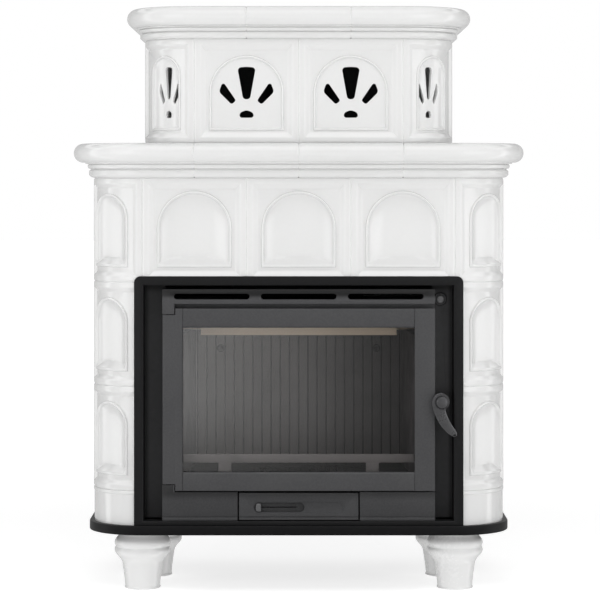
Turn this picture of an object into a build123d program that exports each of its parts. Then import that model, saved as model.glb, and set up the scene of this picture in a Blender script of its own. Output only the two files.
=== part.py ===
"""Tiled wood stove: white moulded stove tiles round a cast fireplace insert, on a steel tray and feet.

Millimetres, +Z up, front towards -Y. The origin is on the floor under the middle of the outline.
"""
from build123d import *
import math
import os

# ---------------------------------------------------------------- tiles and cornices
MODULE = 222.0            # pitch of the square tiles
JOINT = 0.6               # open joint between neighbouring tiles
BODY_TILES = 3            # whole tiles between the round corners of the body
CROWN_TILES = 2           # whole tiles between the round corners of the crown
ROWS = 3                  # tile rows of the body
CORNER_R = 111.0          # outer radius of the round corners
SIDE_RUN = 333.0          # straight run of each side, one and a half modules
TILE_T = 14.0             # thickness of a tile's face
COLLAR_D = 40.0           # depth of the collar behind a tile's face
COLLAR_T = 10.0           # wall of that collar
COLLAR_INSET = 4.0        # collar set in from the tile's edge
PLINTH_H = 73.0
PLINTH_BAND = 7.5         # proud band along the plinth's top edge
PLINTH_STEP = 1.5
CORNICE_H = 74.0
TOP_CORNICE_H = 68.0
OVERHANG = 42.0           # how far a cornice's round nose stands out
NOSE_R = 22.0
FASCIA_OUT = 10.4
FASCIA_H = 15.0
FOOT_ROUND = 6.0          # cove under the fascia
SHELF_T = 14.0            # ceramic plate on top of a cornice

# ---------------------------------------------------------------- tile relief
BAND = 10.0               # flat border of a tile
COVE = 8.0                # sloping strip inside the border
FIELD_DEPTH = 5.0
ARCH_HALF = 77.5          # half width of the arch on a square tile
ARCH_H = 163.5
ARCH_UP = 2.7             # arch above the tile's middle
CORNER_ARCH_HALF = 52.5   # half width of the arch seen square on a round corner
RIM = 7.0                 # width of the raised rim round an arch
RIM_BELOW = 1.0           # rim's crest below the tile's face
NICHE_DEPTH = 12.0        # niche below the field
NICHE_SLOPE = 14.0        # how far the niche's floor draws in
BACKING = 12.0            # thickness kept behind a niche
PANEL_DEPTH = 2.5         # flat pierced panel below the field

# ---------------------------------------------------------------- base
FOOT_H = 125.0
TRAY_T = 20.0
TRAY_OUT = 9.0            # tray's edge beyond the tiles
TRAY_SHEET = 4.0
FOOT_BULGE_R = 57.8
FOOT_NECK_R = 41.5
FOOT_BASE_R = 38.5
FRONT_FOOT_X = 337.0
FRONT_FOOT_IN = 86.0      # front feet behind the tile face
REAR_FOOT_X = 321.0
REAR_FOOT_IN = 260.0
BOLT_R = 5.0

# ---------------------------------------------------------------- fireplace insert
WINDOW_CLEAR = 1.0        # between the tiles and the folded surround
SURROUND_LAP = 17.0       # flange over the tiles at the sides
SURROUND_LAP_TOP = 13.0
SURROUND_R = 14.0
FLANGE_T = 3.0
SEAT = 0.3                # seat between separately mounted pieces
SHEET = 2.0
RECESS = 57.0             # depth of the surround's tunnel
SILL_H = 9.6              # folded sill under the insert
RECESS_W = 43.0           # from the tile opening to the insert, each side
INSERT_TOP_GAP = 14.8     # from the tile opening down to the insert
INSERT_LIFT = 0.8         # insert above the sill
FRONT_T = 30.0            # depth of the cast front
FRONT_FLANGE_T = 8.0
DOOR_T = 14.0
STRIP_H = 31.1            # strip with the air slots
AIR_GAP = 8.3             # gap over the door
BASE_H = 60.0             # strip under the door
DOOR_GAP = 1.3
SLOT_W = 161.0
SLOT_H = 12.5
SLOT_PITCH = 185.0
STILE_W = 43.5            # door frame beside the glass
TOP_RAIL = 42.5
BOTTOM_RAIL = 41.7
RAIL_STEP = 1.0
DOOR_EDGE_R = 3.0
GLASS_T = 4.0
GLASS_LAP = 6.0
GLASS_BEVEL = 3.0
SEAL_R = 4.85             # glass-fibre rope
SEAL_IN = 22.0            # rope's centre line in from the door's sides
SEAL_IN_Z = 9.5
SEAL_CORNER = 40.0
WINDOW_IN = 40.0          # fire opening in from the insert's sides
WINDOW_IN_Z = 15.0        # fire opening in from the door's upper edge
WINDOW_UP = 24.0          # fire opening above the door's lower edge
EAR_W = 26.0
EAR_ROUND = 2.0           # rounded corner that the door swings past
EAR_H = 22.0
LOW_EAR_H = 15.4
NOTCH_GAP = 1.5
PIN_R = 4.0
PIN_FIT = 0.05
PIN_IN = 14.0             # pin in the door
PIN_BORE = 18.0           # pin in the hinge ear
PIN_COLLAR_R = 6.5
HINGE_IN = 13.0           # hinge axis in from the door's side

# handle
HANDLE_OUT = 13.4         # pivot outside the door's side
HANDLE_UP = 191.2         # pivot above the door's lower edge
EAR_R = 18.0
EAR_T = 12.0
HEAD_R = 22.0
LEVER_OUT = 6.0           # gap between handle and door face
LEVER_T = 14.0
LEVER_REACH = (26.5, -68.0)
LEVER_HALF = 8.5
SPINDLE_R = 5.0
DOME_R = 11.0
HUB_R = 12.5
CAM_T = 4.0
CAM_REACH = 19.0          # from the spindle to the middle of the cam's round end
CAM_END_R = 5.0
CAM_ANGLE = -70.0         # cam's arm at rest, from +X
KEEPER_OUT = 10.0
KEEPER_T = 3.0
KEEPER_H = 9.0

# drawer and slider
DRAWER_W = 255.0
DRAWER_SIDE_GAP = 2.5
GROOVE_UP = 6.5           # groove over the bottom bead
GROOVE_H = 3.0
GROOVE_D = 2.0
TRACK_W = 191.0
TRACK_H = 23.6
TRACK_UP = 28.0           # track's centre above the drawer's lower edge
TRACK_D = 1.5
VENT_W = 106.0
VENT_H = 20.0
PAN_W = 236.0
PAN_L = 240.0
PAN_H = 48.0
PAN_SET_BACK = 8.0

# fire box
SHELL_T = 5.0
SHELL_IN = 5.0            # shell inside the cast front's side
SHELL_DEPTH = 361.0       # back of the shell behind the tile face
SKID_H = 6.0
HEARTH_T = 6.0
HEARTH_BELOW = 2.0        # hearth below the fire opening's edge
LINING_FRONT = 30.7       # lining thickness at the front
LINING_BACK = 47.7
FIREBACK_T = 18.0
RIB_PITCH = 19.4
RIB_W = 12.0
RIB_D = 6.0
BAFFLE_T = 16.0
BAFFLE_BELOW = 49.0       # baffle below the shell's top
BAFFLE_FRONT = 100.0      # baffle's front edge behind the tile face
BAFFLE_CUT = 34.0
LOG_BAR_UP = 35.0         # gap under the log bar
LOG_BAR_H = 18.0
LOG_BAR_T = 8.0
LOG_BAR_IN = 46.0
LOG_POST_W = 28.0
LOG_POST_X = 158.0
GRATE_W = 200.0
GRATE_L = 160.0
GRATE_BARS = 11
GRATE_IN = 190.0          # grate's middle behind the tile face

# flue
THROAT_W = 220.0
THROAT_L = 80.0
THROAT_IN = 250.0         # throat's middle behind the tile face
BOX_W = 280.0
BOX_FRONT = 110.0
BOX_BACK = 330.0
BOX_H = 75.0
PIPE_R = 75.0
PIPE_T = 2.0
PIPE_IN = 240.0
SPIGOT_L = 45.0
SPIGOT_FLANGE_R = 100.0
DAMPER_T = 4.6
DAMPER_W = 244.0
DAMPER_L = 100.0
DAMPER_X = 304.0
ROD_ABOVE = 7.9           # pull rod above the fire box
DAMPER_TRAVEL = 80.0
ROD_R = 4.0
KNOB_R = 9.5
KNOB_T = 14.0

# inner frame and back
POST = 18.0
POST_IN = 64.0            # front posts behind the tile face
POST_CLEAR = 7.0          # posts outside the corner's arc centre
BACK_T = 2.0
BACK_VENT_X = 80.0        # first column of back vents from the middle
COVER_T = 2.0
COVER_VENT_X = 150.0      # columns of cover vents from the middle

# ---------------------------------------------------------------- places worked out from the sizes
TILE_DEEP = TILE_T + COLLAR_D
WINDOW_HALF = BODY_TILES * MODULE / 2
BODY_HALF = WINDOW_HALF + CORNER_R
CROWN_HALF = CROWN_TILES * MODULE / 2 + CORNER_R
CORNER_LEAD = MODULE / 2
BODY_DEEP = CORNER_R + SIDE_RUN
YF = -(OVERHANG + BODY_DEEP + BACK_T + SPIGOT_L) / 2 + OVERHANG
YB = YF + BODY_DEEP
Y_ARC = YF + CORNER_R
Z_TRAY = FOOT_H + TRAY_T
Z_ROWS = Z_TRAY + PLINTH_H
Z_LINTEL = Z_ROWS + (ROWS - 1) * MODULE
Z_CORNICE = Z_ROWS + ROWS * MODULE
Z_CROWN = Z_CORNICE + CORNICE_H
Z_TOP_CORNICE = Z_CROWN + MODULE
Z_TOP = Z_TOP_CORNICE + TOP_CORNICE_H

INSERT_HALF = WINDOW_HALF - RECESS_W
Z_INSERT = Z_TRAY + SILL_H + INSERT_LIFT
Z_INSERT_TOP = Z_LINTEL - INSERT_TOP_GAP
Z_STRIP = Z_INSERT_TOP - STRIP_H
Z_BASE_TOP = Z_INSERT + BASE_H
Z_DOOR = Z_BASE_TOP + DOOR_GAP
Z_DOOR_TOP = Z_STRIP - AIR_GAP
Z_GLASS = Z_DOOR + BOTTOM_RAIL
Z_GLASS_TOP = Z_DOOR_TOP - TOP_RAIL
GLASS_HALF = INSERT_HALF - STILE_W
FIRE_HALF = INSERT_HALF - WINDOW_IN
Z_FIRE = Z_DOOR + WINDOW_UP
Z_FIRE_TOP = Z_DOOR_TOP - WINDOW_IN_Z
Z_SHELL_TOP = Z_STRIP - SHELL_T
SHELL_HALF = INSERT_HALF - SHELL_IN
Y_FRONT_BACK = YF + FRONT_T
Y_SHELL_BACK = YF + SHELL_DEPTH
Y_LINING_BACK = Y_SHELL_BACK - SHELL_T - FIREBACK_T
HINGE_X = -INSERT_HALF + HINGE_IN
HINGE_Y = YF + DOOR_T / 2
HANDLE_X = INSERT_HALF + HANDLE_OUT
HANDLE_Z = Z_DOOR + HANDLE_UP
Z_HEARTH = Z_FIRE - HEARTH_BELOW
Z_BAFFLE = Z_SHELL_TOP - BAFFLE_BELOW - BAFFLE_T
Z_PAN = Z_TRAY + SKID_H + SHELL_T + SEAT
DRAWER_HALF = DRAWER_W / 2
TRACK_Z = Z_INSERT + TRACK_UP
KNOB_X = -VENT_W / 2 - (TRACK_W - VENT_W) / 2 + 8.0
Z_BOX = Z_SHELL_TOP + SHELL_T
Z_ROD = Z_BOX + ROD_ABOVE
Z_PIPE = (Z_CROWN + Z_TOP_CORNICE) / 2
TUNNEL_HALF = WINDOW_HALF - WINDOW_CLEAR
Z_TUNNEL_TOP = Z_LINTEL - 4.5
LINTEL_T = 4.0


# ---------------------------------------------------------------- helpers
def block(x0, x1, y0, y1, z0, z1):
    """Box between two corners."""
    size = (x1 - x0, y1 - y0, z1 - z0)
    return Pos((x0 + x1) / 2, (y0 + y1) / 2, (z0 + z1) / 2) * Box(*size)


def rod_y(x, z, y0, y1, radius):
    """Round bar along Y."""
    return Pos(x, (y0 + y1) / 2, z) * Rot(90, 0, 0) * Cylinder(radius, y1 - y0)


def rod_z(x, y, z0, z1, radius):
    """Round bar along Z."""
    return Pos(x, y, (z0 + z1) / 2) * Cylinder(radius, z1 - z0)


def upright(y, sketch):
    """Sketch stood up in the plane of the front at depth y."""
    return Plane.XZ.offset(-y) * sketch


def plate(sketch, y0, y1):
    """Upright sketch given thickness from y0 back to y1."""
    return extrude(upright(y0, sketch), amount=y1 - y0, dir=(0, 1, 0))


def slab(sketch, z0, z1):
    """Plan sketch given height from z0 to z1."""
    return extrude(Plane.XY.offset(z0) * sketch, amount=z1 - z0, dir=(0, 0, 1))


def taper(front, back, y0, y1):
    """Solid that runs from one upright outline to another of the same kind."""
    return loft([upright(y0, front), upright(y1, back)])


def rect(x0, x1, z0, z1):
    """Rectangle between two corners of a sketch."""
    return Pos((x0 + x1) / 2, (z0 + z1) / 2) * Rectangle(x1 - x0, z1 - z0)


def both(solid):
    """A solid and its mirror image across the middle of the stove."""
    return solid, mirror(solid, about=Plane.YZ)


def save(node, *pieces):
    """One file for a node, its pieces kept as separate solids."""
    solids = [one for piece in pieces for one in piece.solids()]
    shape = solids[0] if len(solids) == 1 else Compound(solids)
    export_step(shape, f"parts/{node}.step")


# ---------------------------------------------------------------- tile relief
def arch(half, height, inset=0.0):
    """Round-headed outline centred on a tile, drawn in all round by an inset."""
    wide = half - inset
    low = ARCH_UP - height / 2 + inset
    spring = ARCH_UP + height / 2 - half
    sides = Polyline((-wide, spring), (-wide, low), (wide, low), (wide, spring))
    head = ThreePointArc((wide, spring), (0, spring + wide), (-wide, spring))
    return make_face(sides + head)


def fan_piercings(squeeze=1.0):
    """Pierced ornament of a crown tile: a wedge, a petal each side and a half moon."""
    wedge = fillet(Polygon((-18.5, 49), (18.5, 49), (7, -15), (-7, -15), align=None).vertices(), 4.0)
    petal_points = ((-50, 15.5), (-26, -20), (-31, -24.5), (-55.5, 0))
    petal = fillet(Polygon(*petal_points, align=None).vertices(), 2.6)
    moon = make_face(Line((-14.3, -57), (14.3, -57)) + ThreePointArc((14.3, -57), (0, -42.7), (-14.3, -57)))
    shapes = [wedge, petal, mirror(petal, about=Plane.YZ), moon]
    return [scale(shape, by=(squeeze, 1, 1)) for shape in shapes]


def flat_tile(width, half, pierced=False):
    """Flat tile with its face at y = 0, looking to -Y, centred on the origin."""
    wide = width / 2 - JOINT / 2
    high = MODULE / 2 - JOINT / 2
    tile = block(-wide, wide, 0, TILE_T, -high, high)
    outer = (wide - COLLAR_INSET, high - COLLAR_INSET)
    inner = (outer[0] - COLLAR_T, outer[1] - COLLAR_T)
    collar = rect(-outer[0], outer[0], -outer[1], outer[1]) - rect(-inner[0], inner[0], -inner[1], inner[1])
    tile += plate(collar, TILE_T, TILE_DEEP)
    edge = Rectangle(2 * (wide - BAND), 2 * (high - BAND))
    field = Rectangle(2 * (wide - BAND - COVE), 2 * (high - BAND - COVE))
    tile -= taper(edge, field, 0, FIELD_DEPTH)
    rim = arch(half, ARCH_H) - arch(half, ARCH_H, RIM)
    if pierced:
        tile += plate(rim, RIM_BELOW, FIELD_DEPTH)
        tile -= plate(arch(half, ARCH_H, RIM), 0, FIELD_DEPTH + PANEL_DEPTH)
        for hole in fan_piercings():
            tile -= plate(hole, 0, TILE_T)
        return tile
    slope = min(NICHE_SLOPE, (half - RIM) * 0.6)
    floor = FIELD_DEPTH + NICHE_DEPTH
    tile += plate(arch(half, ARCH_H), TILE_T, floor + BACKING)
    tile += plate(rim, RIM_BELOW, FIELD_DEPTH)
    tile -= taper(arch(half, ARCH_H, RIM), arch(half, ARCH_H, RIM + slope), 0, floor)
    return tile


def ring(r0, r1, z0, z1, trim=0.0):
    """Quarter ring between two radii from facing -X round to facing -Y, trimmed in degrees at both ends."""
    section = Plane.XZ * rect(r0, r1, z0, z1)
    return Rot(0, 0, 180 + trim) * revolve(section, Axis.Z, 90 - 2 * trim)


def corner_tile(pierced=False):
    """Quarter-round tile whose arc centre is the origin, turned to the left front corner."""
    high = MODULE / 2 - JOINT / 2
    inner_r = CORNER_R - TILE_T
    end = JOINT / 2
    quarter = block(-CORNER_R - 1, -end, -CORNER_R - 1, -end, -high, high)
    tile = ring(inner_r, CORNER_R, -high, high)
    rim_high = high - COLLAR_INSET
    for z0 in (-rim_high, rim_high - COLLAR_T):
        tile += ring(inner_r - COLLAR_D, inner_r, z0, z0 + COLLAR_T)
    reach = (-inner_r, -inner_r + COLLAR_D)
    near = (-COLLAR_INSET - COLLAR_T, -COLLAR_INSET)
    tile += block(*near, *reach, -rim_high, rim_high) + block(*reach, *near, -rim_high, rim_high)
    tile &= quarter
    for inset, depth in ((BAND, FIELD_DEPTH / 2), (BAND + COVE, FIELD_DEPTH)):
        trim = math.degrees(inset / CORNER_R)
        tile -= ring(CORNER_R - depth, CORNER_R + 1, inset - high, high - inset, trim)
    turn = Rot(0, 0, -45)
    outline = turn * plate(arch(CORNER_ARCH_HALF, ARCH_H), -CORNER_R - 1, -inner_r / 2)
    opening = turn * plate(arch(CORNER_ARCH_HALF, ARCH_H, RIM), -CORNER_R - 1, -inner_r / 2)
    field_r = CORNER_R - FIELD_DEPTH
    if pierced:
        tile += (outline - opening) & ring(inner_r, CORNER_R - RIM_BELOW, -high, high, 2)
        tile -= opening & ring(field_r - PANEL_DEPTH, CORNER_R, -high, high, 2)
        for hole in fan_piercings(CORNER_ARCH_HALF / ARCH_HALF):
            tile -= turn * plate(hole, -CORNER_R - 1, -inner_r / 2)
        return tile
    floor_r = field_r - NICHE_DEPTH
    tile += outline & ring(floor_r - BACKING, inner_r, -high, high, 2)
    tile += (outline - opening) & ring(field_r, CORNER_R - RIM_BELOW, -high, high, 2)
    tile -= opening & ring(floor_r, CORNER_R, -high, high, 2)
    return tile


# ---------------------------------------------------------------- cornices
def moulding(height):
    """Section of a cornice: u stands out from the wall, v is the height."""
    top = height
    nose = height - NOSE_R
    mid = NOSE_R * math.sqrt(0.5)
    seat = OVERHANG - NOSE_R
    outline = Polyline(
        (seat, top), (-TILE_T, top), (-TILE_T, 0), (0, 0)
    ) + ThreePointArc(
        (0, 0), (FASCIA_OUT * 0.7, FOOT_ROUND * 0.3), (FASCIA_OUT, FOOT_ROUND)
    ) + Polyline(
        (FASCIA_OUT, FOOT_ROUND), (FASCIA_OUT, FOOT_ROUND + FASCIA_H),
        (FASCIA_OUT + 3, FOOT_ROUND + FASCIA_H), (seat, nose - NOSE_R)
    ) + ThreePointArc(
        (seat, nose - NOSE_R), (seat + mid, nose - mid), (OVERHANG, nose)
    ) + ThreePointArc(
        (OVERHANG, nose), (seat + mid, nose + mid), (seat, top)
    )
    return make_face(outline)


def cornice_corner(half, height, crown_half):
    """Left corner of a cornice: two straight leads, a quarter round and the shelf behind it."""
    lead = CORNER_LEAD - JOINT / 2
    x_arc = -half + CORNER_R
    face = moulding(height)
    front = Plane(origin=(x_arc + lead, YF, 0), x_dir=(0, -1, 0), z_dir=(-1, 0, 0))
    piece = extrude(front * face, amount=lead)
    start = Plane(origin=(x_arc, YF, 0), x_dir=(0, -1, 0), z_dir=(-1, 0, 0))
    piece += revolve(start * face, Axis((x_arc, Y_ARC, 0), (0, 0, -1)), 90)
    side = Plane(origin=(-half, Y_ARC, 0), x_dir=(-1, 0, 0), z_dir=(0, 1, 0))
    piece += extrude(side * face, amount=lead)
    shelf = rect(-half, x_arc + lead, YF, Y_ARC + lead)
    outline = shelf - rect(-half, x_arc, YF, Y_ARC)
    outline += Pos(x_arc, Y_ARC) * Circle(CORNER_R) & rect(-half, x_arc, YF, Y_ARC)
    outline -= rect(-crown_half + TILE_DEEP, 0, YF + TILE_DEEP, YB)
    return piece + slab(outline, height - SHELF_T, height)


def cornice_front(x0, x1, height):
    """Straight front piece of a cornice."""
    run = Plane(origin=(x1 - JOINT / 2, YF, 0), x_dir=(0, -1, 0), z_dir=(-1, 0, 0))
    piece = extrude(run * moulding(height), amount=x1 - x0 - JOINT)
    return piece + block(x0 + JOINT / 2, x1 - JOINT / 2, YF, YF + TILE_DEEP, height - SHELF_T, height)


def cornice_side(half, height, crown_half):
    """Left side piece of a cornice, with its shelf in to the wall above."""
    y0 = Y_ARC + CORNER_LEAD + JOINT / 2
    run = Plane(origin=(-half, y0, 0), x_dir=(-1, 0, 0), z_dir=(0, 1, 0))
    piece = extrude(run * moulding(height), amount=YB - y0)
    return piece + block(-half, -crown_half + TILE_DEEP, y0, YB, height - SHELF_T, height)


def write_cornices():
    """Main cornice under the crown and the smaller cornice on top."""
    lift = Pos(0, 0, Z_CORNICE + JOINT / 2)
    high = CORNICE_H - JOINT
    left, right = both(lift * cornice_corner(BODY_HALF, high, CROWN_HALF))
    save("cornice_corner_left", left)
    save("cornice_corner_right", right)
    save("cornice_front_left", lift * cornice_front(-MODULE, 0, high))
    save("cornice_front_right", lift * cornice_front(0, MODULE, high))
    save("cornice_sides", *both(lift * cornice_side(BODY_HALF, high, CROWN_HALF)))
    lift = Pos(0, 0, Z_TOP_CORNICE + JOINT / 2)
    high = TOP_CORNICE_H - JOINT / 2
    left, right = both(lift * cornice_corner(CROWN_HALF, high, CROWN_HALF))
    save("top_cornice_left", left)
    save("top_cornice_right", right)
    save("top_cornice_front", lift * cornice_front(-MODULE / 2, MODULE / 2, high))
    save("top_cornice_sides", *both(lift * cornice_side(CROWN_HALF, high, CROWN_HALF)))


# ---------------------------------------------------------------- tile cladding
def side_row(half, z, pierced=False):
    """Whole tile and half tile of one row on the left side."""
    face_left = Rot(0, 0, -90)
    arch_margin = MODULE / 2 - ARCH_HALF
    whole = Pos(-half, Y_ARC + MODULE / 2, z) * face_left * flat_tile(MODULE, ARCH_HALF, pierced)
    rest = SIDE_RUN - MODULE
    narrow = flat_tile(rest, rest / 2 - arch_margin)
    return [whole, Pos(-half, YB - rest / 2, z) * face_left * narrow]


def write_tiles():
    """Round corner tiles, front tiles and side tiles of the body and the crown."""
    niche_corner = corner_tile()
    for row in range(ROWS):
        z = Z_ROWS + (row + 0.5) * MODULE
        left, right = both(Pos(-WINDOW_HALF, Y_ARC, z) * niche_corner)
        save(f"corner_tile_left_{row + 1}", left)
        save(f"corner_tile_right_{row + 1}", right)
    niche_tile = flat_tile(MODULE, ARCH_HALF)
    top_row = Z_CORNICE - MODULE / 2
    for index, name in enumerate(("left", "center", "right")):
        x = (index - 1) * MODULE
        save(f"front_tile_{name}", Pos(x, YF, top_row) * niche_tile)
    sides = []
    for row in range(ROWS):
        sides += side_row(BODY_HALF, Z_ROWS + (row + 0.5) * MODULE)
    save("side_tiles_left", *sides)
    save("side_tiles_right", *[mirror(tile, about=Plane.YZ) for tile in sides])

    crown_row = Z_CROWN + MODULE / 2
    left, right = both(Pos(-CROWN_HALF + CORNER_R, Y_ARC, crown_row) * corner_tile(pierced=True))
    save("crown_corner_left", left)
    save("crown_corner_right", right)
    left, right = both(Pos(-MODULE / 2, YF, crown_row) * flat_tile(MODULE, ARCH_HALF, pierced=True))
    save("crown_tile_left", left)
    save("crown_tile_right", right)
    crown_sides = side_row(CROWN_HALF, crown_row, pierced=True)
    save("crown_sides", *crown_sides, *[mirror(tile, about=Plane.YZ) for tile in crown_sides])


def write_plinth():
    """Plain bands between the tray and the lowest tiles."""
    top = Z_ROWS - JOINT / 2
    band = top - PLINTH_BAND
    round_part = ring(CORNER_R - TILE_T, CORNER_R, band, top)
    round_part += ring(CORNER_R - TILE_T, CORNER_R - PLINTH_STEP, Z_TRAY, band)
    round_part &= block(-CORNER_R, 0, -CORNER_R, -JOINT / 2, Z_TRAY, top)
    corner = Pos(-WINDOW_HALF, Y_ARC, 0) * round_part
    straight = block(-BODY_HALF, -BODY_HALF + TILE_T, Y_ARC, YB, band, top)
    straight += block(-BODY_HALF + PLINTH_STEP, -BODY_HALF + TILE_T, Y_ARC, YB, Z_TRAY, band)
    save("plinth_left", corner, straight)
    save("plinth_right", mirror(corner, about=Plane.YZ), mirror(straight, about=Plane.YZ))


# ---------------------------------------------------------------- base
def tray_outline(out):
    """Plan of the tray: rounded in front, square at the back."""
    half = BODY_HALF + out
    radius = CORNER_R + out
    plan = rect(-half, half, YF - out, YB + BACK_T)
    for side in (-1, 1):
        corner = rect(*sorted((side * half, side * (half - radius))), YF - out, YF - out + radius)
        plan -= corner
        plan += Pos(side * (half - radius), YF - out + radius) * Circle(radius) & corner
    return plan


def foot_places():
    """Plan positions of the four feet by name."""
    return {
        "foot_front_left": (-FRONT_FOOT_X, YF + FRONT_FOOT_IN),
        "foot_front_right": (FRONT_FOOT_X, YF + FRONT_FOOT_IN),
        "foot_rear_left": (-REAR_FOOT_X, YF + REAR_FOOT_IN),
        "foot_rear_right": (REAR_FOOT_X, YF + REAR_FOOT_IN),
    }


def turned_foot():
    """Turned foot on the floor at the origin, bored for its bolt."""
    bulge, neck, base = FOOT_BULGE_R, FOOT_NECK_R, FOOT_BASE_R
    h = FOOT_H
    profile = Polyline((0, 0), (base + 1, 0), (base + 1, 6), (base, 9), (base + 0.4, h * 0.3))
    profile += Spline((base + 0.4, h * 0.3), (neck, h * 0.52), (bulge - 4, h * 0.71))
    profile += Polyline((bulge - 4, h * 0.71), (bulge - 1.5, h * 0.73), (bulge - 1.5, h * 0.75),
                        (bulge - 3.5, h * 0.76), (bulge - 3.5, h * 0.77))
    profile += ThreePointArc((bulge - 3.5, h * 0.77), (bulge, h * 0.86), (bulge - 4, h))
    profile += Polyline((bulge - 4, h), (0, h), (0, 0))
    foot = revolve(Plane.XZ * make_face(profile), Axis.Z)
    foot -= rod_z(0, 0, 0, h, BOLT_R + 0.5)
    return foot - rod_z(0, 0, 0, 24, 13)


def write_base():
    """Tray, feet and the bolts that join them."""
    sheet_z = Z_TRAY - TRAY_SHEET
    tray = slab(tray_outline(TRAY_OUT), sheet_z, Z_TRAY)
    tray += slab(tray_outline(TRAY_OUT) - tray_outline(TRAY_OUT - TRAY_SHEET), FOOT_H, sheet_z)
    tray += slab(rect(-BODY_HALF, BODY_HALF, YB + BACK_T - TRAY_SHEET, YB + BACK_T), FOOT_H, sheet_z)
    foot = turned_foot()
    bolts = []
    for name, (x, y) in foot_places().items():
        tray += rod_z(x, y, FOOT_H, sheet_z, FOOT_NECK_R)
        tray -= rod_z(x, y, FOOT_H, Z_TRAY - TRAY_SHEET / 2, BOLT_R + SEAT)
        save(name, Pos(x, y, 0) * foot)
        bolt = rod_z(x, y, 16, Z_TRAY - TRAY_SHEET, BOLT_R)
        bolt += Pos(x, y, 14) * extrude(RegularPolygon(9.0, 6), amount=10.0)
        bolts.append(bolt)
    save("base_tray", tray)
    save("foot_bolts", *bolts)


# ---------------------------------------------------------------- inner frame, cover and back
def write_frame():
    """Welded bars that carry the crown and the lintel over the fire."""
    post_x = WINDOW_HALF + POST_CLEAR
    y_front = YF + POST_IN
    y_back = YB - POST
    z_rail = Z_CORNICE - POST
    posts = []
    rails = [
        block(-post_x, post_x, y_front, y_front + POST, z_rail, Z_CORNICE),
        block(-post_x, post_x, y_back, y_back + POST, z_rail, Z_CORNICE),
    ]
    upper_x = CROWN_HALF - CORNER_R + POST_CLEAR
    z_cover = Z_TOP - SHELF_T - COVER_T
    for y in (y_front, y_back):
        for bar in both(block(-post_x - POST, -post_x, y, y + POST, Z_TRAY, Z_CORNICE)):
            posts.append(bar)
        for bar in both(block(-upper_x - POST, -upper_x, y, y + POST, Z_CORNICE, z_cover)):
            posts.append(bar)
    for bar in both(block(-upper_x - POST, -upper_x, y_front + POST, y_back, z_cover - POST, z_cover)):
        rails.append(bar)
    for y in (y_front, y_back):
        rails.append(block(-upper_x, upper_x, y, y + POST, z_cover - POST, z_cover))
    inside = WINDOW_HALF - WINDOW_CLEAR
    lintel = block(-inside, inside, YF + 4, YF + TILE_DEEP, Z_LINTEL - LINTEL_T, Z_LINTEL)
    back_of_collar = YF + TILE_DEEP + 2
    wide = post_x + POST
    lintel += block(-inside, inside, YF + TILE_DEEP, y_front, Z_LINTEL - LINTEL_T, Z_LINTEL)
    lintel += block(-wide, wide, back_of_collar, y_front, Z_LINTEL - LINTEL_T, Z_LINTEL)
    save("support_frame", *posts, *rails, lintel)

    cover_half = CROWN_HALF - TILE_DEEP + 10
    cover = block(-cover_half, cover_half, YF + TILE_DEEP - 10, YB, z_cover, z_cover + COVER_T)
    for x in (-COVER_VENT_X, COVER_VENT_X):
        for index in range(7):
            cover -= block(x - 55, x + 55, YF + 120 + 34 * index, YF + 132 + 34 * index,
                           z_cover, z_cover + COVER_T)
    save("top_cover", cover)


def write_back():
    """Flat steel back with its vents and screws."""
    margin = 4.0
    body = rect(-BODY_HALF + margin, BODY_HALF - margin, Z_TRAY, Z_CROWN - margin)
    crown = rect(-CROWN_HALF + margin, CROWN_HALF - margin, Z_CROWN - margin, Z_TOP - SHELF_T)
    sheet = body + crown - Pos(0, Z_PIPE) * Circle(PIPE_R + SEAT)
    slot = SlotOverall(120, 12)
    for z in (Z_TRAY + 60, Z_TRAY + 90, Z_LINTEL + 120, Z_LINTEL + 150):
        for x in (-3 * BACK_VENT_X, -BACK_VENT_X, BACK_VENT_X, 3 * BACK_VENT_X):
            sheet -= Pos(x, z) * slot
    save("back_panel", plate(sheet, YB, YB + BACK_T))
    places = []
    for z in (Z_TRAY + 25, Z_ROWS + MODULE, Z_ROWS + 2 * MODULE, Z_CORNICE - 20):
        places += [(-BODY_HALF + 25, z), (BODY_HALF - 25, z)]
    for z in (Z_CROWN + 30, Z_TOP_CORNICE - 30):
        places += [(-CROWN_HALF + 25, z), (CROWN_HALF - 25, z)]
    screws = []
    for x, z in places:
        head = rod_y(x, z, YB + BACK_T, YB + BACK_T + 3, 6)
        screws.append(head - block(x - 4, x + 4, YB + BACK_T + 2, YB + BACK_T + 3, z - 0.8, z + 0.8))
    save("back_screws", *screws)


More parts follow.
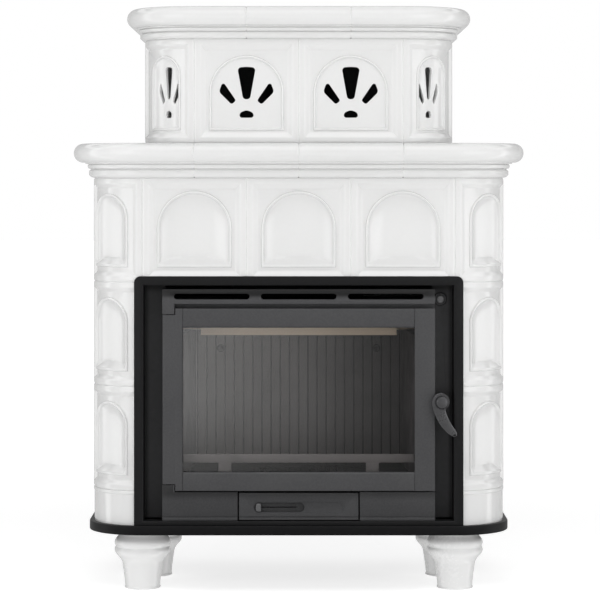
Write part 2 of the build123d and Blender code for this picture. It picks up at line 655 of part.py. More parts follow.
# ---------------------------------------------------------------- surround and cast front
def write_surround():
    """Folded surround: flange over the tiles, tunnel, side panels and sill."""
    flange_half = WINDOW_HALF + SURROUND_LAP
    flange_top = Z_LINTEL + SURROUND_LAP_TOP
    inner_half = TUNNEL_HALF - SHEET
    inner_top = Z_TUNNEL_TOP - SHEET
    inner_z = Z_TRAY + SILL_H
    foot = Z_TRAY + SEAT
    outline = rect(-flange_half, flange_half, foot, flange_top)
    top_corners = outline.vertices().sort_by(Axis.Y)[-2:]
    outline = fillet(top_corners, SURROUND_R)
    opening = rect(-inner_half, inner_half, inner_z, inner_top)
    y_front = YF - SEAT - FLANGE_T
    frame = plate(outline - opening, y_front, YF - SEAT)
    sill = rect(-TUNNEL_HALF, TUNNEL_HALF, inner_z - SHEET, inner_z)
    tunnel = rect(-TUNNEL_HALF, TUNNEL_HALF, inner_z, Z_TUNNEL_TOP) - opening
    frame += plate(sill, YF - SEAT, Y_FRONT_BACK - SEAT)
    frame += plate(tunnel, YF - SEAT, YF + RECESS)
    edge = frame.edges().filter_by_position(Axis.Y, y_front - 0.01, y_front + 0.01)
    inside = [one for one in edge if abs(one.center().X) < inner_half + 1
              and inner_z - 1 < one.center().Z < inner_top + 1]
    frame = fillet(inside, FLANGE_T * 0.9)
    panel_in = INSERT_HALF - 4
    for panel in both(block(-inner_half, -panel_in, YF + RECESS - SHEET, YF + RECESS, inner_z, inner_top)):
        frame += panel
    frame -= rod_y(DAMPER_X, Z_ROD, YF + RECESS - SHEET, YF + RECESS, KNOB_R + 4.5)
    save("surround_frame", frame)


def write_front():
    """Cast front: flange round the fire, slotted strip, hinge ears, base blocks and keeper."""
    flange_y = Y_FRONT_BACK - FRONT_FLANGE_T
    flange = rect(-INSERT_HALF, INSERT_HALF, Z_INSERT, Z_INSERT_TOP)
    window = RectangleRounded(2 * FIRE_HALF, Z_FIRE_TOP - Z_FIRE, 18)
    flange -= Pos(0, (Z_FIRE + Z_FIRE_TOP) / 2) * window
    drawer_gap = DRAWER_HALF + DRAWER_SIDE_GAP
    flange -= rect(-drawer_gap, drawer_gap, Z_INSERT, Z_BASE_TOP)
    front = plate(flange, flange_y, Y_FRONT_BACK)
    front += block(-INSERT_HALF, INSERT_HALF, YF, flange_y, Z_STRIP, Z_INSERT_TOP)
    z_slot = Z_STRIP + STRIP_H / 2
    for index in (-1, 0, 1):
        slot = Pos(index * SLOT_PITCH, z_slot) * SlotOverall(SLOT_W, SLOT_H)
        front -= plate(slot, YF, Y_FRONT_BACK)
    z_groove = Z_INSERT + GROOVE_UP
    for base in both(block(-INSERT_HALF, -drawer_gap, YF, flange_y, Z_INSERT, Z_BASE_TOP)):
        front += base
    front -= block(-INSERT_HALF, INSERT_HALF, YF, YF + GROOVE_D, z_groove, z_groove + GROOVE_H)
    ear_x = -INSERT_HALF + EAR_W
    for z0, z1 in ((Z_STRIP - EAR_H, Z_STRIP), (Z_BASE_TOP, Z_BASE_TOP + LOW_EAR_H)):
        ear = block(-INSERT_HALF, ear_x, YF, flange_y, z0, z1)
        swung_past = ear.edges().filter_by(Axis.Z).sort_by(lambda one: one.center().X - one.center().Y)[-1]
        front += fillet(swung_past, EAR_ROUND)
    bore_r = PIN_R + PIN_FIT
    z_low = Z_BASE_TOP + LOW_EAR_H
    front -= rod_z(HINGE_X, HINGE_Y, Z_STRIP - EAR_H, Z_STRIP - EAR_H + PIN_BORE, bore_r)
    front -= rod_z(HINGE_X, HINGE_Y, z_low - PIN_BORE, z_low, bore_r)
    z_keep = HANDLE_Z - CAM_REACH - CAM_END_R
    keeper_leg = block(INSERT_HALF, INSERT_HALF + KEEPER_T, YF + DOOR_T + 1, Y_FRONT_BACK,
                       z_keep, z_keep + KEEPER_H)
    keeper_lip = block(INSERT_HALF + KEEPER_T, INSERT_HALF + KEEPER_OUT, YF + DOOR_T + 1, YF + DOOR_T + 5,
                       z_keep, z_keep + KEEPER_H)
    save("front_plate", front, keeper_leg, keeper_lip)

    pins = []
    for ear_face, way in ((Z_STRIP - EAR_H, -1), (Z_BASE_TOP + LOW_EAR_H, 1)):
        low, high = sorted((ear_face - way * (PIN_BORE - 1), ear_face + way * PIN_IN))
        pin = rod_z(HINGE_X, HINGE_Y, low, high, PIN_R)
        low, high = sorted((ear_face, ear_face + way * (NOTCH_GAP - SEAT)))
        pins.append(pin + rod_z(HINGE_X, HINGE_Y, low, high, PIN_COLLAR_R))
    save("hinge_pins", *pins)


# ---------------------------------------------------------------- door
def write_door():
    """Door casting with its glass, clips and rope seal."""
    frame = block(-INSERT_HALF, INSERT_HALF, YF, YF + DOOR_T, Z_DOOR, Z_DOOR_TOP)
    uprights = frame.edges().filter_by(Axis.Z)
    side_edges = uprights.filter_by_position(Axis.X, -INSERT_HALF - 1, -INSERT_HALF + 1)
    frame = fillet(side_edges, DOOR_EDGE_R)
    frame -= block(-GLASS_HALF, GLASS_HALF, YF, YF + RAIL_STEP, Z_DOOR, Z_DOOR_TOP)
    opening = rect(-GLASS_HALF, GLASS_HALF, Z_GLASS, Z_GLASS_TOP)
    frame -= plate(opening, YF, YF + DOOR_T)
    bevel = rect(-GLASS_HALF - GLASS_BEVEL, GLASS_HALF + GLASS_BEVEL, Z_GLASS - GLASS_BEVEL,
                 Z_GLASS_TOP + GLASS_BEVEL)
    face = YF + RAIL_STEP
    frame -= taper(bevel, opening, face, face + GLASS_BEVEL)
    wide = GLASS_HALF + GLASS_LAP
    z_glass = (Z_GLASS - GLASS_LAP, Z_GLASS_TOP + GLASS_LAP)
    frame -= plate(rect(-wide, wide, *z_glass), YF + DOOR_T - GLASS_T, YF + DOOR_T)
    notch = -INSERT_HALF + EAR_W + NOTCH_GAP
    z_high = Z_STRIP - EAR_H - NOTCH_GAP
    z_low = Z_BASE_TOP + LOW_EAR_H + NOTCH_GAP
    frame -= block(-INSERT_HALF - 1, notch, YF, YF + DOOR_T, z_high, Z_DOOR_TOP)
    frame -= block(-INSERT_HALF - 1, notch, YF, YF + DOOR_T, Z_DOOR, z_low)
    frame -= rod_z(HINGE_X, HINGE_Y, z_high - PIN_IN, z_high, PIN_R + PIN_FIT)
    frame -= rod_z(HINGE_X, HINGE_Y, z_low, z_low + PIN_IN, PIN_R + PIN_FIT)
    ear_y = YF + DOOR_T - EAR_T
    frame += rod_y(HANDLE_X, HANDLE_Z, ear_y, YF + DOOR_T, EAR_R)
    frame -= rod_y(HANDLE_X, HANDLE_Z, ear_y, YF + DOOR_T, SPINDLE_R + PIN_FIT)

    seal_half = INSERT_HALF - SEAL_IN
    seal_z = (Z_DOOR + SEAL_IN_Z, Z_DOOR_TOP - SEAL_IN_Z)
    seal_size = (2 * seal_half, seal_z[1] - seal_z[0])
    seal_mid = sum(seal_z) / 2
    seal_y = Y_FRONT_BACK - FRONT_FLANGE_T - SEAT - SEAL_R
    groove = (RectangleRounded(seal_size[0] + 2 * SEAL_R, seal_size[1] + 2 * SEAL_R, SEAL_CORNER + SEAL_R)
              - RectangleRounded(seal_size[0] - 2 * SEAL_R, seal_size[1] - 2 * SEAL_R, SEAL_CORNER - SEAL_R))
    frame -= plate(Pos(0, seal_mid) * groove, seal_y - SEAL_R, YF + DOOR_T)
    save("door_frame", frame)

    loop = upright(seal_y, Pos(0, seal_mid) * RectangleRounded(*seal_size, SEAL_CORNER)).wire()
    section = Plane(origin=(0, seal_y, seal_mid + seal_size[1] / 2), z_dir=(1, 0, 0)) * Circle(SEAL_R)
    save("door_seal", sweep(section, path=loop))

    pane = SEAT
    glass = rect(-wide + pane, wide - pane, z_glass[0] + pane, z_glass[1] - pane)
    save("door_glass", plate(glass, YF + DOOR_T - GLASS_T, YF + DOOR_T))

    clips = []
    clip_w = 14.0
    reach = (wide - 5, wide + 9)
    y_clip = YF + DOOR_T
    for z in (z_glass[0] + 45, z_glass[1] - 45):
        for clip in both(block(*reach, y_clip, y_clip + 2, z - clip_w / 2, z + clip_w / 2)):
            x = clip.center().X
            clips.append(clip + rod_y(x + math.copysign(3, x), z, y_clip + 2, y_clip + 5, 3.5))
    for x in (-wide / 2, wide / 2):
        for z, way in ((z_glass[0], -1), (z_glass[1], 1)):
            low, high = sorted((z - way * 5, z + way * 9))
            clip = block(x - clip_w / 2, x + clip_w / 2, y_clip, y_clip + 2, low, high)
            clips.append(clip + rod_y(x, z + way * 5, y_clip + 2, y_clip + 5, 3.5))
    save("glass_clips", *clips)


def write_handle():
    """Lever with its comma-shaped head, and the spindle with cam and dome nut."""
    tip_x, tip_z = LEVER_REACH
    bend = (tip_x * 0.72 + 4, tip_z * 0.42)
    head = Circle(HEAD_R)
    spine = [(0.0, 0.0), bend, LEVER_REACH]
    curve = Spline(*spine)
    steps = 10
    shape = head
    for index in range(steps):
        a, b = curve @ (index / steps), curve @ ((index + 1) / steps)
        radius = LEVER_HALF - 1.6 * (index + 1) / steps
        link = SlotCenterToCenter((b - a).length, 2 * radius)
        turn = math.degrees(math.atan2(b.Y - a.Y, b.X - a.X))
        shape += Pos((a.X + b.X) / 2, (a.Y + b.Y) / 2) * Rot(0, 0, turn) * link
    notch = Pos(-2, HEAD_R + 2) * Circle(7)
    shape = Pos(HANDLE_X, HANDLE_Z) * (shape - notch)
    y_back = YF - LEVER_OUT
    ear_y = YF + DOOR_T - EAR_T
    handle = plate(shape, y_back - LEVER_T, y_back)
    handle += rod_y(HANDLE_X, HANDLE_Z, y_back, ear_y - SEAT, HUB_R)
    handle -= rod_y(HANDLE_X, HANDLE_Z, y_back - LEVER_T, ear_y - SEAT, SPINDLE_R + PIN_FIT)
    save("door_handle", handle)

    y_cam = YF + DOOR_T + 6
    spindle = rod_y(HANDLE_X, HANDLE_Z, y_back - LEVER_T, y_cam + CAM_T + 5, SPINDLE_R)
    dome = Pos(HANDLE_X, y_back - LEVER_T, HANDLE_Z) * Rot(90, 0, 0) * Cylinder(
        DOME_R, 4, align=(Align.CENTER, Align.CENTER, Align.MIN))
    cap = Pos(HANDLE_X, y_back - LEVER_T - 4, HANDLE_Z) * Sphere(DOME_R)
    dome += cap & rod_y(HANDLE_X, HANDLE_Z, y_back - LEVER_T - 8, y_back - LEVER_T - 4, DOME_R)
    spindle += dome
    spindle += rod_y(HANDLE_X, HANDLE_Z, YF + DOOR_T + SEAT, y_cam, 8)
    arm = Rot(0, 0, CAM_ANGLE) * Pos(CAM_REACH / 2, 0) * SlotCenterToCenter(CAM_REACH, 2 * CAM_END_R)
    cam = Pos(HANDLE_X, HANDLE_Z) * (Circle(11) + arm)
    spindle += plate(cam, y_cam, y_cam + CAM_T)
    spindle += rod_y(HANDLE_X, HANDLE_Z, y_cam + CAM_T, y_cam + CAM_T + 5, 8)
    save("latch_cam", spindle)


# ---------------------------------------------------------------- ash drawer
def write_drawer():
    """Drawer front with the air track, the pan behind it and the air slider."""
    y_back = YF + DOOR_T
    front = block(-DRAWER_HALF, DRAWER_HALF, YF, y_back, Z_INSERT + 0.8, Z_BASE_TOP - 0.8)
    z_groove = Z_INSERT + GROOVE_UP
    front -= block(-DRAWER_HALF, DRAWER_HALF, YF, YF + GROOVE_D, z_groove, z_groove + GROOVE_H)
    track = Pos(0, TRACK_Z) * SlotOverall(TRACK_W, TRACK_H)
    front -= plate(track, YF, YF + TRACK_D)
    vent_x = -TRACK_W / 2 + VENT_W / 2 + (TRACK_H - VENT_H) / 2
    front -= plate(Pos(vent_x, TRACK_Z) * SlotOverall(VENT_W, VENT_H), YF, y_back)
    rail = TRACK_H / 2 + 2
    for z in (TRACK_Z - rail - 3, TRACK_Z + rail):
        front += block(-DRAWER_HALF + 4, DRAWER_HALF - 4, y_back, y_back + PAN_SET_BACK, z, z + 3)
    save("ash_drawer_front", front)

    y0 = y_back + PAN_SET_BACK
    half = PAN_W / 2
    pan = block(-half, half, y0, y0 + PAN_L, Z_PAN, Z_PAN + PAN_H)
    pan -= block(-half + SHEET, half - SHEET, y0 + SHEET, y0 + PAN_L - SHEET, Z_PAN + SHEET, Z_PAN + PAN_H)
    save("ash_pan", pan)

    slide = rect(KNOB_X - 20, KNOB_X + VENT_W + 6, TRACK_Z - rail + SEAT, TRACK_Z + rail - SEAT)
    for x in (KNOB_X + 30, KNOB_X + 55, KNOB_X + 80):
        slide -= Pos(x, TRACK_Z) * Circle(7)
    slider = plate(slide, y_back + SEAT, y_back + 3)
    slider += block(KNOB_X - 3.2, KNOB_X + 3.2, YF - 3, y_back + SEAT, TRACK_Z - 6.5, TRACK_Z + 6.5)
    save("air_slider", slider)


# ---------------------------------------------------------------- fire box
def write_firebox():
    """Welded shell with its linings, fireback, hearth, grate, baffle and log bar."""
    z0 = Z_TRAY + SKID_H
    y0, y1 = Y_FRONT_BACK, Y_SHELL_BACK
    shell = [block(-SHELL_HALF, SHELL_HALF, y0, y1, z0, z0 + SHELL_T)]
    for skid in both(block(-SHELL_HALF + 60, -SHELL_HALF + 80, y0, y1, Z_TRAY, z0)):
        shell.append(skid)
    z_top = Z_SHELL_TOP
    side = block(-SHELL_HALF, -SHELL_HALF + SHELL_T, y0, y1, z0 + SHELL_T, z_top)
    shell.append(side)
    right = mirror(side, about=Plane.YZ)
    for y in (YF + 80, YF + 140):
        lug = block(SHELL_HALF, DAMPER_X + 9, y, y + 8, Z_ROD - 20, Z_ROD + 9)
        right += lug - rod_y(DAMPER_X, Z_ROD, y, y + 8, ROD_R + PIN_FIT)
    shell.append(right)
    inside = SHELL_HALF - SHELL_T
    shell.append(block(-inside, inside, y1 - SHELL_T, y1, z0 + SHELL_T, z_top))
    t0, t1 = YF + THROAT_IN - THROAT_L / 2, YF + THROAT_IN + THROAT_L / 2
    z_lid = z_top + SHELL_T
    shell.append(block(-SHELL_HALF, SHELL_HALF, y0, t0, z_top, z_lid))
    shell.append(block(-SHELL_HALF, SHELL_HALF, t1, y1, z_top, z_lid))
    for strip in both(block(-SHELL_HALF, -THROAT_W / 2, t0, t1, z_top, z_lid)):
        shell.append(strip)
    guide_x = DAMPER_W / 2 + SEAT
    g0, g1 = YF + BOX_FRONT + SHEET, YF + BOX_BACK - SHEET
    guide = block(-guide_x - 10, -guide_x, g0, g1, z_lid, z_lid + DAMPER_T)
    for strip in both(guide):
        shell.append(strip)
    save("firebox_shell", *shell)

    back_y = Y_LINING_BACK
    half_back = inside - LINING_BACK
    lining_plan = Polygon(
        (-inside, y0 + SHEET), (-inside + LINING_FRONT, y0 + SHEET), (-half_back, back_y), (-inside, back_y),
        align=None)
    lining = slab(lining_plan, Z_HEARTH, Z_BAFFLE)
    save("side_linings", *both(lining))

    z_hearth = Z_HEARTH
    hearth = block(-inside, inside, y0, back_y, z_hearth - HEARTH_T, z_hearth)
    y_grate = YF + GRATE_IN
    hearth -= block(-GRATE_W / 2, GRATE_W / 2, y_grate - GRATE_L / 2, y_grate + GRATE_L / 2,
                    z_hearth - HEARTH_T, z_hearth)
    lip = 8.0
    hearth += block(-GRATE_W / 2 - lip, GRATE_W / 2 + lip, y_grate - GRATE_L / 2 - lip,
                    y_grate + GRATE_L / 2 + lip, z_hearth - 2 * HEARTH_T, z_hearth - HEARTH_T)
    hearth -= block(-GRATE_W / 2 + lip, GRATE_W / 2 - lip, y_grate - GRATE_L / 2 + lip,
                    y_grate + GRATE_L / 2 - lip, z_hearth - 2 * HEARTH_T, z_hearth)
    for post in both(block(-inside, -inside + 20, y0 + 40, back_y - 20, z0 + SHELL_T, z_hearth - HEARTH_T)):
        hearth += post
    save("hearth_plate", hearth)

    play = 0.5
    gx, gy = GRATE_W / 2 - play, GRATE_L / 2 - play
    grate = block(-gx, gx, y_grate - gy, y_grate + gy, z_hearth - HEARTH_T, z_hearth)
    pitch = (2 * gx - 20) / GRATE_BARS
    for index in range(GRATE_BARS):
        x = -gx + 10 + pitch * (index + 0.5)
        grate -= block(x - pitch * 0.28, x + pitch * 0.28, y_grate - gy + 12, y_grate + gy - 12,
                       z_hearth - HEARTH_T, z_hearth)
    save("grate", grate)

    fire_half = inside - LINING_BACK + 1
    fireback = block(-inside, inside, back_y, back_y + FIREBACK_T, z_hearth, Z_BAFFLE)
    ribs = int(2 * fire_half / RIB_PITCH)
    for index in range(ribs):
        x = (index - (ribs - 1) / 2) * RIB_PITCH
        groove = (RIB_PITCH - RIB_W) / 2
        fireback -= block(x - groove, x + groove, back_y, back_y + RIB_D, z_hearth, Z_BAFFLE)
    save("fireback", fireback)

    baffle_back = back_y + FIREBACK_T
    front_half = inside - LINING_FRONT - BAFFLE_CUT
    y_front = YF + BAFFLE_FRONT
    outline = Polygon((-front_half, y_front), (front_half, y_front), (inside - 1, y_front + BAFFLE_CUT),
                      (inside - 1, baffle_back), (-inside + 1, baffle_back),
                      (-inside + 1, y_front + BAFFLE_CUT), align=None)
    save("baffle", slab(outline, Z_BAFFLE, Z_BAFFLE + BAFFLE_T))

    bar_half = inside - LINING_FRONT - 2
    y_bar = YF + LOG_BAR_IN
    z_bar = z_hearth + LOG_BAR_UP
    log_bar = block(-bar_half, bar_half, y_bar, y_bar + LOG_BAR_T, z_bar, z_bar + LOG_BAR_H)
    for post in both(block(-LOG_POST_X - LOG_POST_W / 2, -LOG_POST_X + LOG_POST_W / 2,
                           y_bar, y_bar + LOG_BAR_T, z_hearth, z_bar)):
        log_bar += post
    save("log_retainer", log_bar)


# ---------------------------------------------------------------- flue and damper
def write_flue():
    """Smoke box over the throat, the pipe with its elbow and spigot, and the damper."""
    half = BOX_W / 2
    y0, y1 = YF + BOX_FRONT, YF + BOX_BACK
    z_lid = Z_BOX + BOX_H
    y_pipe = YF + PIPE_IN
    arm_y = YF + THROAT_IN
    z_arm = Z_BOX + DAMPER_T
    walls = [
        block(-half, half, y0, y0 + SHEET, Z_BOX, z_lid),
        block(-half, half, y1 - SHEET, y1, Z_BOX, z_lid),
        block(-half, -half + SHEET, y0 + SHEET, y1 - SHEET, Z_BOX, z_lid),
    ]
    right = block(half - SHEET, half, y0 + SHEET, y1 - SHEET, Z_BOX, z_lid)
    right -= block(half - SHEET, half, arm_y - DAMPER_TRAVEL - 10, arm_y + 10, Z_BOX, Z_BOX + 18)
    lid = slab(rect(-half, half, y0, y1) - Pos(0, y_pipe) * Circle(PIPE_R - PIPE_T), z_lid, z_lid + SHEET)
    save("smoke_box", *walls, right, lid)

    z0 = z_lid + SHEET
    y_end = YB + BACK_T + SPIGOT_L
    bore = PIPE_R - PIPE_T
    z_bend = Z_PIPE - PIPE_R
    y_bend = y_pipe + PIPE_R
    riser = rod_z(0, y_pipe, z0, z_bend, PIPE_R) - rod_z(0, y_pipe, z0, z_bend, bore)
    bend = rod_z(0, y_pipe, z_bend, Z_PIPE, PIPE_R) + rod_y(0, Z_PIPE, y_pipe, y_bend, PIPE_R)
    bend += Pos(0, y_pipe, Z_PIPE) * Sphere(PIPE_R)
    hollow = rod_z(0, y_pipe, z_bend, Z_PIPE, bore) + rod_y(0, Z_PIPE, y_pipe, y_bend, bore)
    hollow += Pos(0, y_pipe, Z_PIPE) * Sphere(bore)
    spigot = rod_y(0, Z_PIPE, y_bend, y_end, PIPE_R)
    spigot += rod_y(0, Z_PIPE, YB + BACK_T, YB + BACK_T + SHEET, SPIGOT_FLANGE_R)
    spigot -= rod_y(0, Z_PIPE, y_bend, y_end, bore)
    save("flue_pipe", riser, bend - hollow, spigot)

    blade_y = (arm_y - DAMPER_L / 2, arm_y + DAMPER_L / 2)
    blade = block(-DAMPER_W / 2, DAMPER_W / 2, *blade_y, Z_BOX + SEAT, z_arm)
    blade += block(DAMPER_W / 4, DAMPER_X + 4, arm_y - 6, arm_y + 6, z_arm, z_arm + 6)
    blade += rod_y(DAMPER_X, Z_ROD, YF + RECESS, arm_y + 10, ROD_R)
    blade += rod_y(DAMPER_X, Z_ROD, YF + RECESS - KNOB_T + 1, YF + RECESS + 1, KNOB_R)
    blade += block(DAMPER_X - 5, DAMPER_X + 5, arm_y - 6, arm_y + 6, z_arm, Z_ROD + 6)
    save("damper", blade)


os.makedirs("parts", exist_ok=True)
write_base()
write_plinth()
write_tiles()
write_cornices()
write_frame()
write_back()
write_surround()
write_front()
write_door()
write_handle()
write_drawer()
write_firebox()
write_flue()
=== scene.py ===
"""Looks of the tiled stove: glazed tiles and cornices, cast fireplace insert, steel tray and turned feet.

Lengths are millimetres in the pieces, and metres in the node groups and the setting, apart from the
camera's distance. The front faces -Y.
"""
import bmesh
import bpy
import math
import numpy as np
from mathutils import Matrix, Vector, geometry


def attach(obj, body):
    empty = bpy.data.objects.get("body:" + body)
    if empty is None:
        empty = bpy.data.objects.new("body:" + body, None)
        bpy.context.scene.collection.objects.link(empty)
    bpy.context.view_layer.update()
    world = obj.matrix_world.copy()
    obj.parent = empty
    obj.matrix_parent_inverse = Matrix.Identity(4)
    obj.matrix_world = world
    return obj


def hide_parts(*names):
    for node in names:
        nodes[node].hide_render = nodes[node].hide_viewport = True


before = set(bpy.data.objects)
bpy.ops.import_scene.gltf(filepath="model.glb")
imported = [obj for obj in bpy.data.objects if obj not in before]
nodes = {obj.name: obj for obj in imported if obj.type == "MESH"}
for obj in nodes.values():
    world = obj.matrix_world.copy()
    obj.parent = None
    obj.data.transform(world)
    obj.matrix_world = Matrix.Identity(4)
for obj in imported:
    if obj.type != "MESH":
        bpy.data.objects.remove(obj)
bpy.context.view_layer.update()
MM = 0.001

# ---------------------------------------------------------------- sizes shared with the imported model
FRONT = -224.5             # plane of the tile faces
BACK = 219.5
MODULE = 222.0
JOINT = 0.04               # left between glazed faces, which meet in a shallow groove
CORNER_R = 111.0
BODY_HALF = 444.0
CROWN_HALF = 333.0
ARC_Y = FRONT + CORNER_R
TRAY_Z = 145.0
ROWS_Z = 218.0
CORNICE_Z = 884.0
CROWN_Z = 958.0
TOP_CORNICE_Z = 1180.0
TILE_T = 14.0
COLLAR_BACK = 54.0
COLLAR_INSET = 4.0
COLLAR_T = 10.0
NICHE_BACK = 29.0
HALF_TILE = 111.0
FACE_HALF = HALF_TILE - JOINT / 2      # half of a tile's glazed face
SIDES = ((-1, "left"), (1, "right"))

# ---------------------------------------------------------------- tile relief
ARCH_HALF = 79.5
ARCH_LOW = -79.5
ARCH_TOP = 83.5
CORNER_ARCH_HALF = 54.0
CORNER_ARCH_TOP = 78.0
CROWN_ARCH_LOW = -84.0
CROWN_ARCH_TOP = 76.0
CROWN_CORNER_HALF = 42.0
CROWN_SQUEEZE = 0.5        # the piercing of the crown's corners is this much of the flat tiles' in width
CROWN_TURN = 14.0          # crown corner arches sit this far towards the front
FAN_TURN = 11.0            # and their piercing further still
FIELD = 7.0                # field below the tile's face
BAND_IN = 11.5             # inner edge of the flat border
COVE_IN = 26.0             # inner edge of the sloping strip
RIM_W = 6.4
RIM_CREST = 1.3            # crest of the arch's rim below the face
NICHE_DROP = 3.5           # first fall inside the rim
NICHE_D = 15.0
NARROW_ARCH_HALF = 22.0
SILL_SLOPE = 1.2
SIDE_POINTS = 26           # points along each of a ring's four sides

# ---------------------------------------------------------------- cornices: foot, height and reach
MAIN_CORNICE = (CORNICE_Z + JOINT / 2, 74.0 - JOINT, 43.5)
TOP_CORNICE = (TOP_CORNICE_Z + JOINT / 2, 68.0 - JOINT / 2, 39.0)
NOSE_R = 20.5
SHELF_T = 14.0
SHELF_X = -CROWN_HALF + COLLAR_BACK    # inner edges of the shelves
SHELF_Y = FRONT + COLLAR_BACK

# ---------------------------------------------------------------- places of the other pieces
FRONT_FOOT = (337.0, 86.0)             # from the middle, and behind the tile faces
REAR_FOOT = (321.0, 260.0)
TRACK_Z = 183.4                        # air slider's track
KNOB_X = -87.5
DAMPER_X, DAMPER_Z = 304.0, 624.0
HANDLE_X, HANDLE_Z = 303.4, 407.9
CHAMBER_BACK = 131.5
WHITE = (1.0, 1.0, 1.0, 1.0)
SHARP = 32.0                           # edges that turn by more degrees than this stay sharp


# ---------------------------------------------------------------- mesh helpers
def link(name, data):
    """Object for a mesh, a light or a camera, placed at the origin."""
    piece = bpy.data.objects.new(name, data)
    bpy.context.scene.collection.objects.link(piece)
    return piece


def smooth(mesh, angle=SHARP):
    """Smooth shading that keeps edges sharper than the angle."""
    mesh.polygons.foreach_set("use_smooth", [True] * len(mesh.polygons))
    mesh.set_sharp_from_angle(angle=math.radians(angle))


def solid(name, parts, material, angle=SHARP):
    """One mesh out of lists of points and faces in millimetres, closed and facing outwards."""
    merge = 0.002              # points nearer than this become one
    points, faces = [], []
    for part_points, part_faces in parts:
        base = len(points)
        points += [tuple(float(c) * MM for c in p) for p in part_points]
        faces += [tuple(base + i for i in face) for face in part_faces]
    mesh = bpy.data.meshes.new(name)
    mesh.from_pydata(points, [], faces)
    bm = bmesh.new()
    bm.from_mesh(mesh)
    bmesh.ops.remove_doubles(bm, verts=bm.verts, dist=merge * MM)
    bmesh.ops.dissolve_degenerate(bm, edges=bm.edges, dist=merge * MM)
    bmesh.ops.recalc_face_normals(bm, faces=bm.faces)
    bm.to_mesh(mesh)
    bm.free()
    mesh.materials.append(material)
    smooth(mesh, angle)
    return link(name, mesh)


def removed(piece):
    """Deletes a piece and its mesh."""
    mesh = piece.data
    bpy.data.objects.remove(piece)
    bpy.data.meshes.remove(mesh)


def dress(piece, body, replaced):
    """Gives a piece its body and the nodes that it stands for."""
    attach(piece, body)
    if replaced:
        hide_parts(*replaced)


def glazed(name, parts, node):
    """Glazed piece that stands for its node."""
    dress(solid(name, parts, GLAZE), "stove", [node])


def finished(piece):
    """Applies a piece's modifiers and leaves a plain mesh."""
    graph = bpy.context.evaluated_depsgraph_get()
    mesh = bpy.data.meshes.new_from_object(piece.evaluated_get(graph))
    piece.modifiers.clear()
    old = piece.data
    piece.data = mesh
    bpy.data.meshes.remove(old)
    return piece


def box_outline(x0, x1, y0, y1):
    """Corners of a rectangle."""
    return [(x0, y0), (x1, y0), (x1, y1), (x0, y1)]


def loft(rings, cap_start=False, cap_end=False):
    """Faces between closed rings that have the same number of points."""
    count = len(rings[0])
    points = [p for ring in rings for p in ring]
    faces = []
    for r in range(len(rings) - 1):
        a, b = r * count, (r + 1) * count
        for i in range(count):
            j = (i + 1) % count
            faces.append((a + i, a + j, b + j, b + i))
    if cap_start:
        faces.append(tuple(reversed(range(count))))
    if cap_end:
        base = (len(rings) - 1) * count
        faces.append(tuple(range(base, base + count)))
    return points, faces


def modelled(piece, tree, **values):
    """Puts a geometry tree on a piece, sets its named inputs and leaves a plain mesh."""
    modifier = piece.modifiers.new(tree.name, "NODES")
    modifier.node_group = tree
    for item in tree.interface.items_tree:
        if item.in_out == "INPUT" and item.name in values:
            modifier[item.identifier] = values[item.name]
    piece.update_tag()
    return finished(piece)


# ---------------------------------------------------------------- nodes
def added(tree, kind, inputs=(), **settings):
    """New node with its settings; each of its inputs takes a number, a colour or the socket that feeds it."""
    node = tree.nodes.new(kind)
    for name, value in settings.items():
        setattr(node, name, value)
    for key, value in dict(inputs).items():
        if isinstance(value, bpy.types.NodeSocket):
            tree.links.new(value, node.inputs[key])
        else:
            node.inputs[key].default_value = value
    return node


def maths(tree, operation, a, b=0.0):
    """Result of a Math node."""
    return added(tree, "ShaderNodeMath", {0: a, 1: b}, operation=operation).outputs[0]


def noise(tree, vector, scale, detail, roughness=0.5):
    """Value of a noise texture."""
    values = {"Vector": vector, "Scale": scale, "Detail": detail, "Roughness": roughness}
    return added(tree, "ShaderNodeTexNoise", values).outputs["Fac"]


def ranged(tree, value, low, high, out_low=0.0, out_high=1.0):
    """Value carried from one range to another, with smooth ends."""
    values = {"Value": value, "From Min": low, "From Max": high, "To Min": out_low, "To Max": out_high}
    return added(tree, "ShaderNodeMapRange", values, interpolation_type="SMOOTHSTEP").outputs["Result"]


def mixed(tree, factor, first, second):
    """Mix of two colours."""
    return added(tree, "ShaderNodeMix", {0: factor, 6: first, 7: second}, data_type="RGBA").outputs[2]


def new_group(kind, name, inputs, outputs):
    """Empty node group: its tree, the values given to it and the sockets that it puts out."""
    tree = bpy.data.node_groups.new(name, kind + "NodeTree")
    for label, sort, value in inputs:
        socket = tree.interface.new_socket(label, in_out="INPUT", socket_type="NodeSocket" + sort)
        if value is not None:
            socket.default_value = value
    for label, sort in outputs:
        tree.interface.new_socket(label, in_out="OUTPUT", socket_type="NodeSocket" + sort)
    return tree, tree.nodes.new("NodeGroupInput").outputs, tree.nodes.new("NodeGroupOutput").inputs


# ---------------------------------------------------------------- geometry trees
def geometry_group(name, inputs):
    """Empty geometry tree that takes a mesh, further named inputs and a finish."""
    inputs = [("Geometry", "Geometry", None), *inputs, ("Finish", "Material", None)]
    return new_group("Geometry", name, inputs, [("Geometry", "Geometry")])


def finish_mesh(tree, mesh, given, out):
    """Last two nodes of a geometry tree: a real mesh, and its material."""
    real = added(tree, "GeometryNodeRealizeInstances", {"Geometry": mesh}).outputs[0]
    finish = added(tree, "GeometryNodeSetMaterial", {"Geometry": real, "Material": given["Finish"]})
    tree.links.new(finish.outputs[0], out["Geometry"])
    return tree


def build_items_on_points():
    """One item set on each point of a mesh."""
    tree, given, out = geometry_group("items_on_points", [("Item", "Object", None)])
    item = added(tree, "GeometryNodeObjectInfo", {"Object": given["Item"]}).outputs["Geometry"]
    spread = added(tree, "GeometryNodeInstanceOnPoints", {"Points": given["Geometry"], "Instance": item})
    return finish_mesh(tree, spread.outputs["Instances"], given, out)


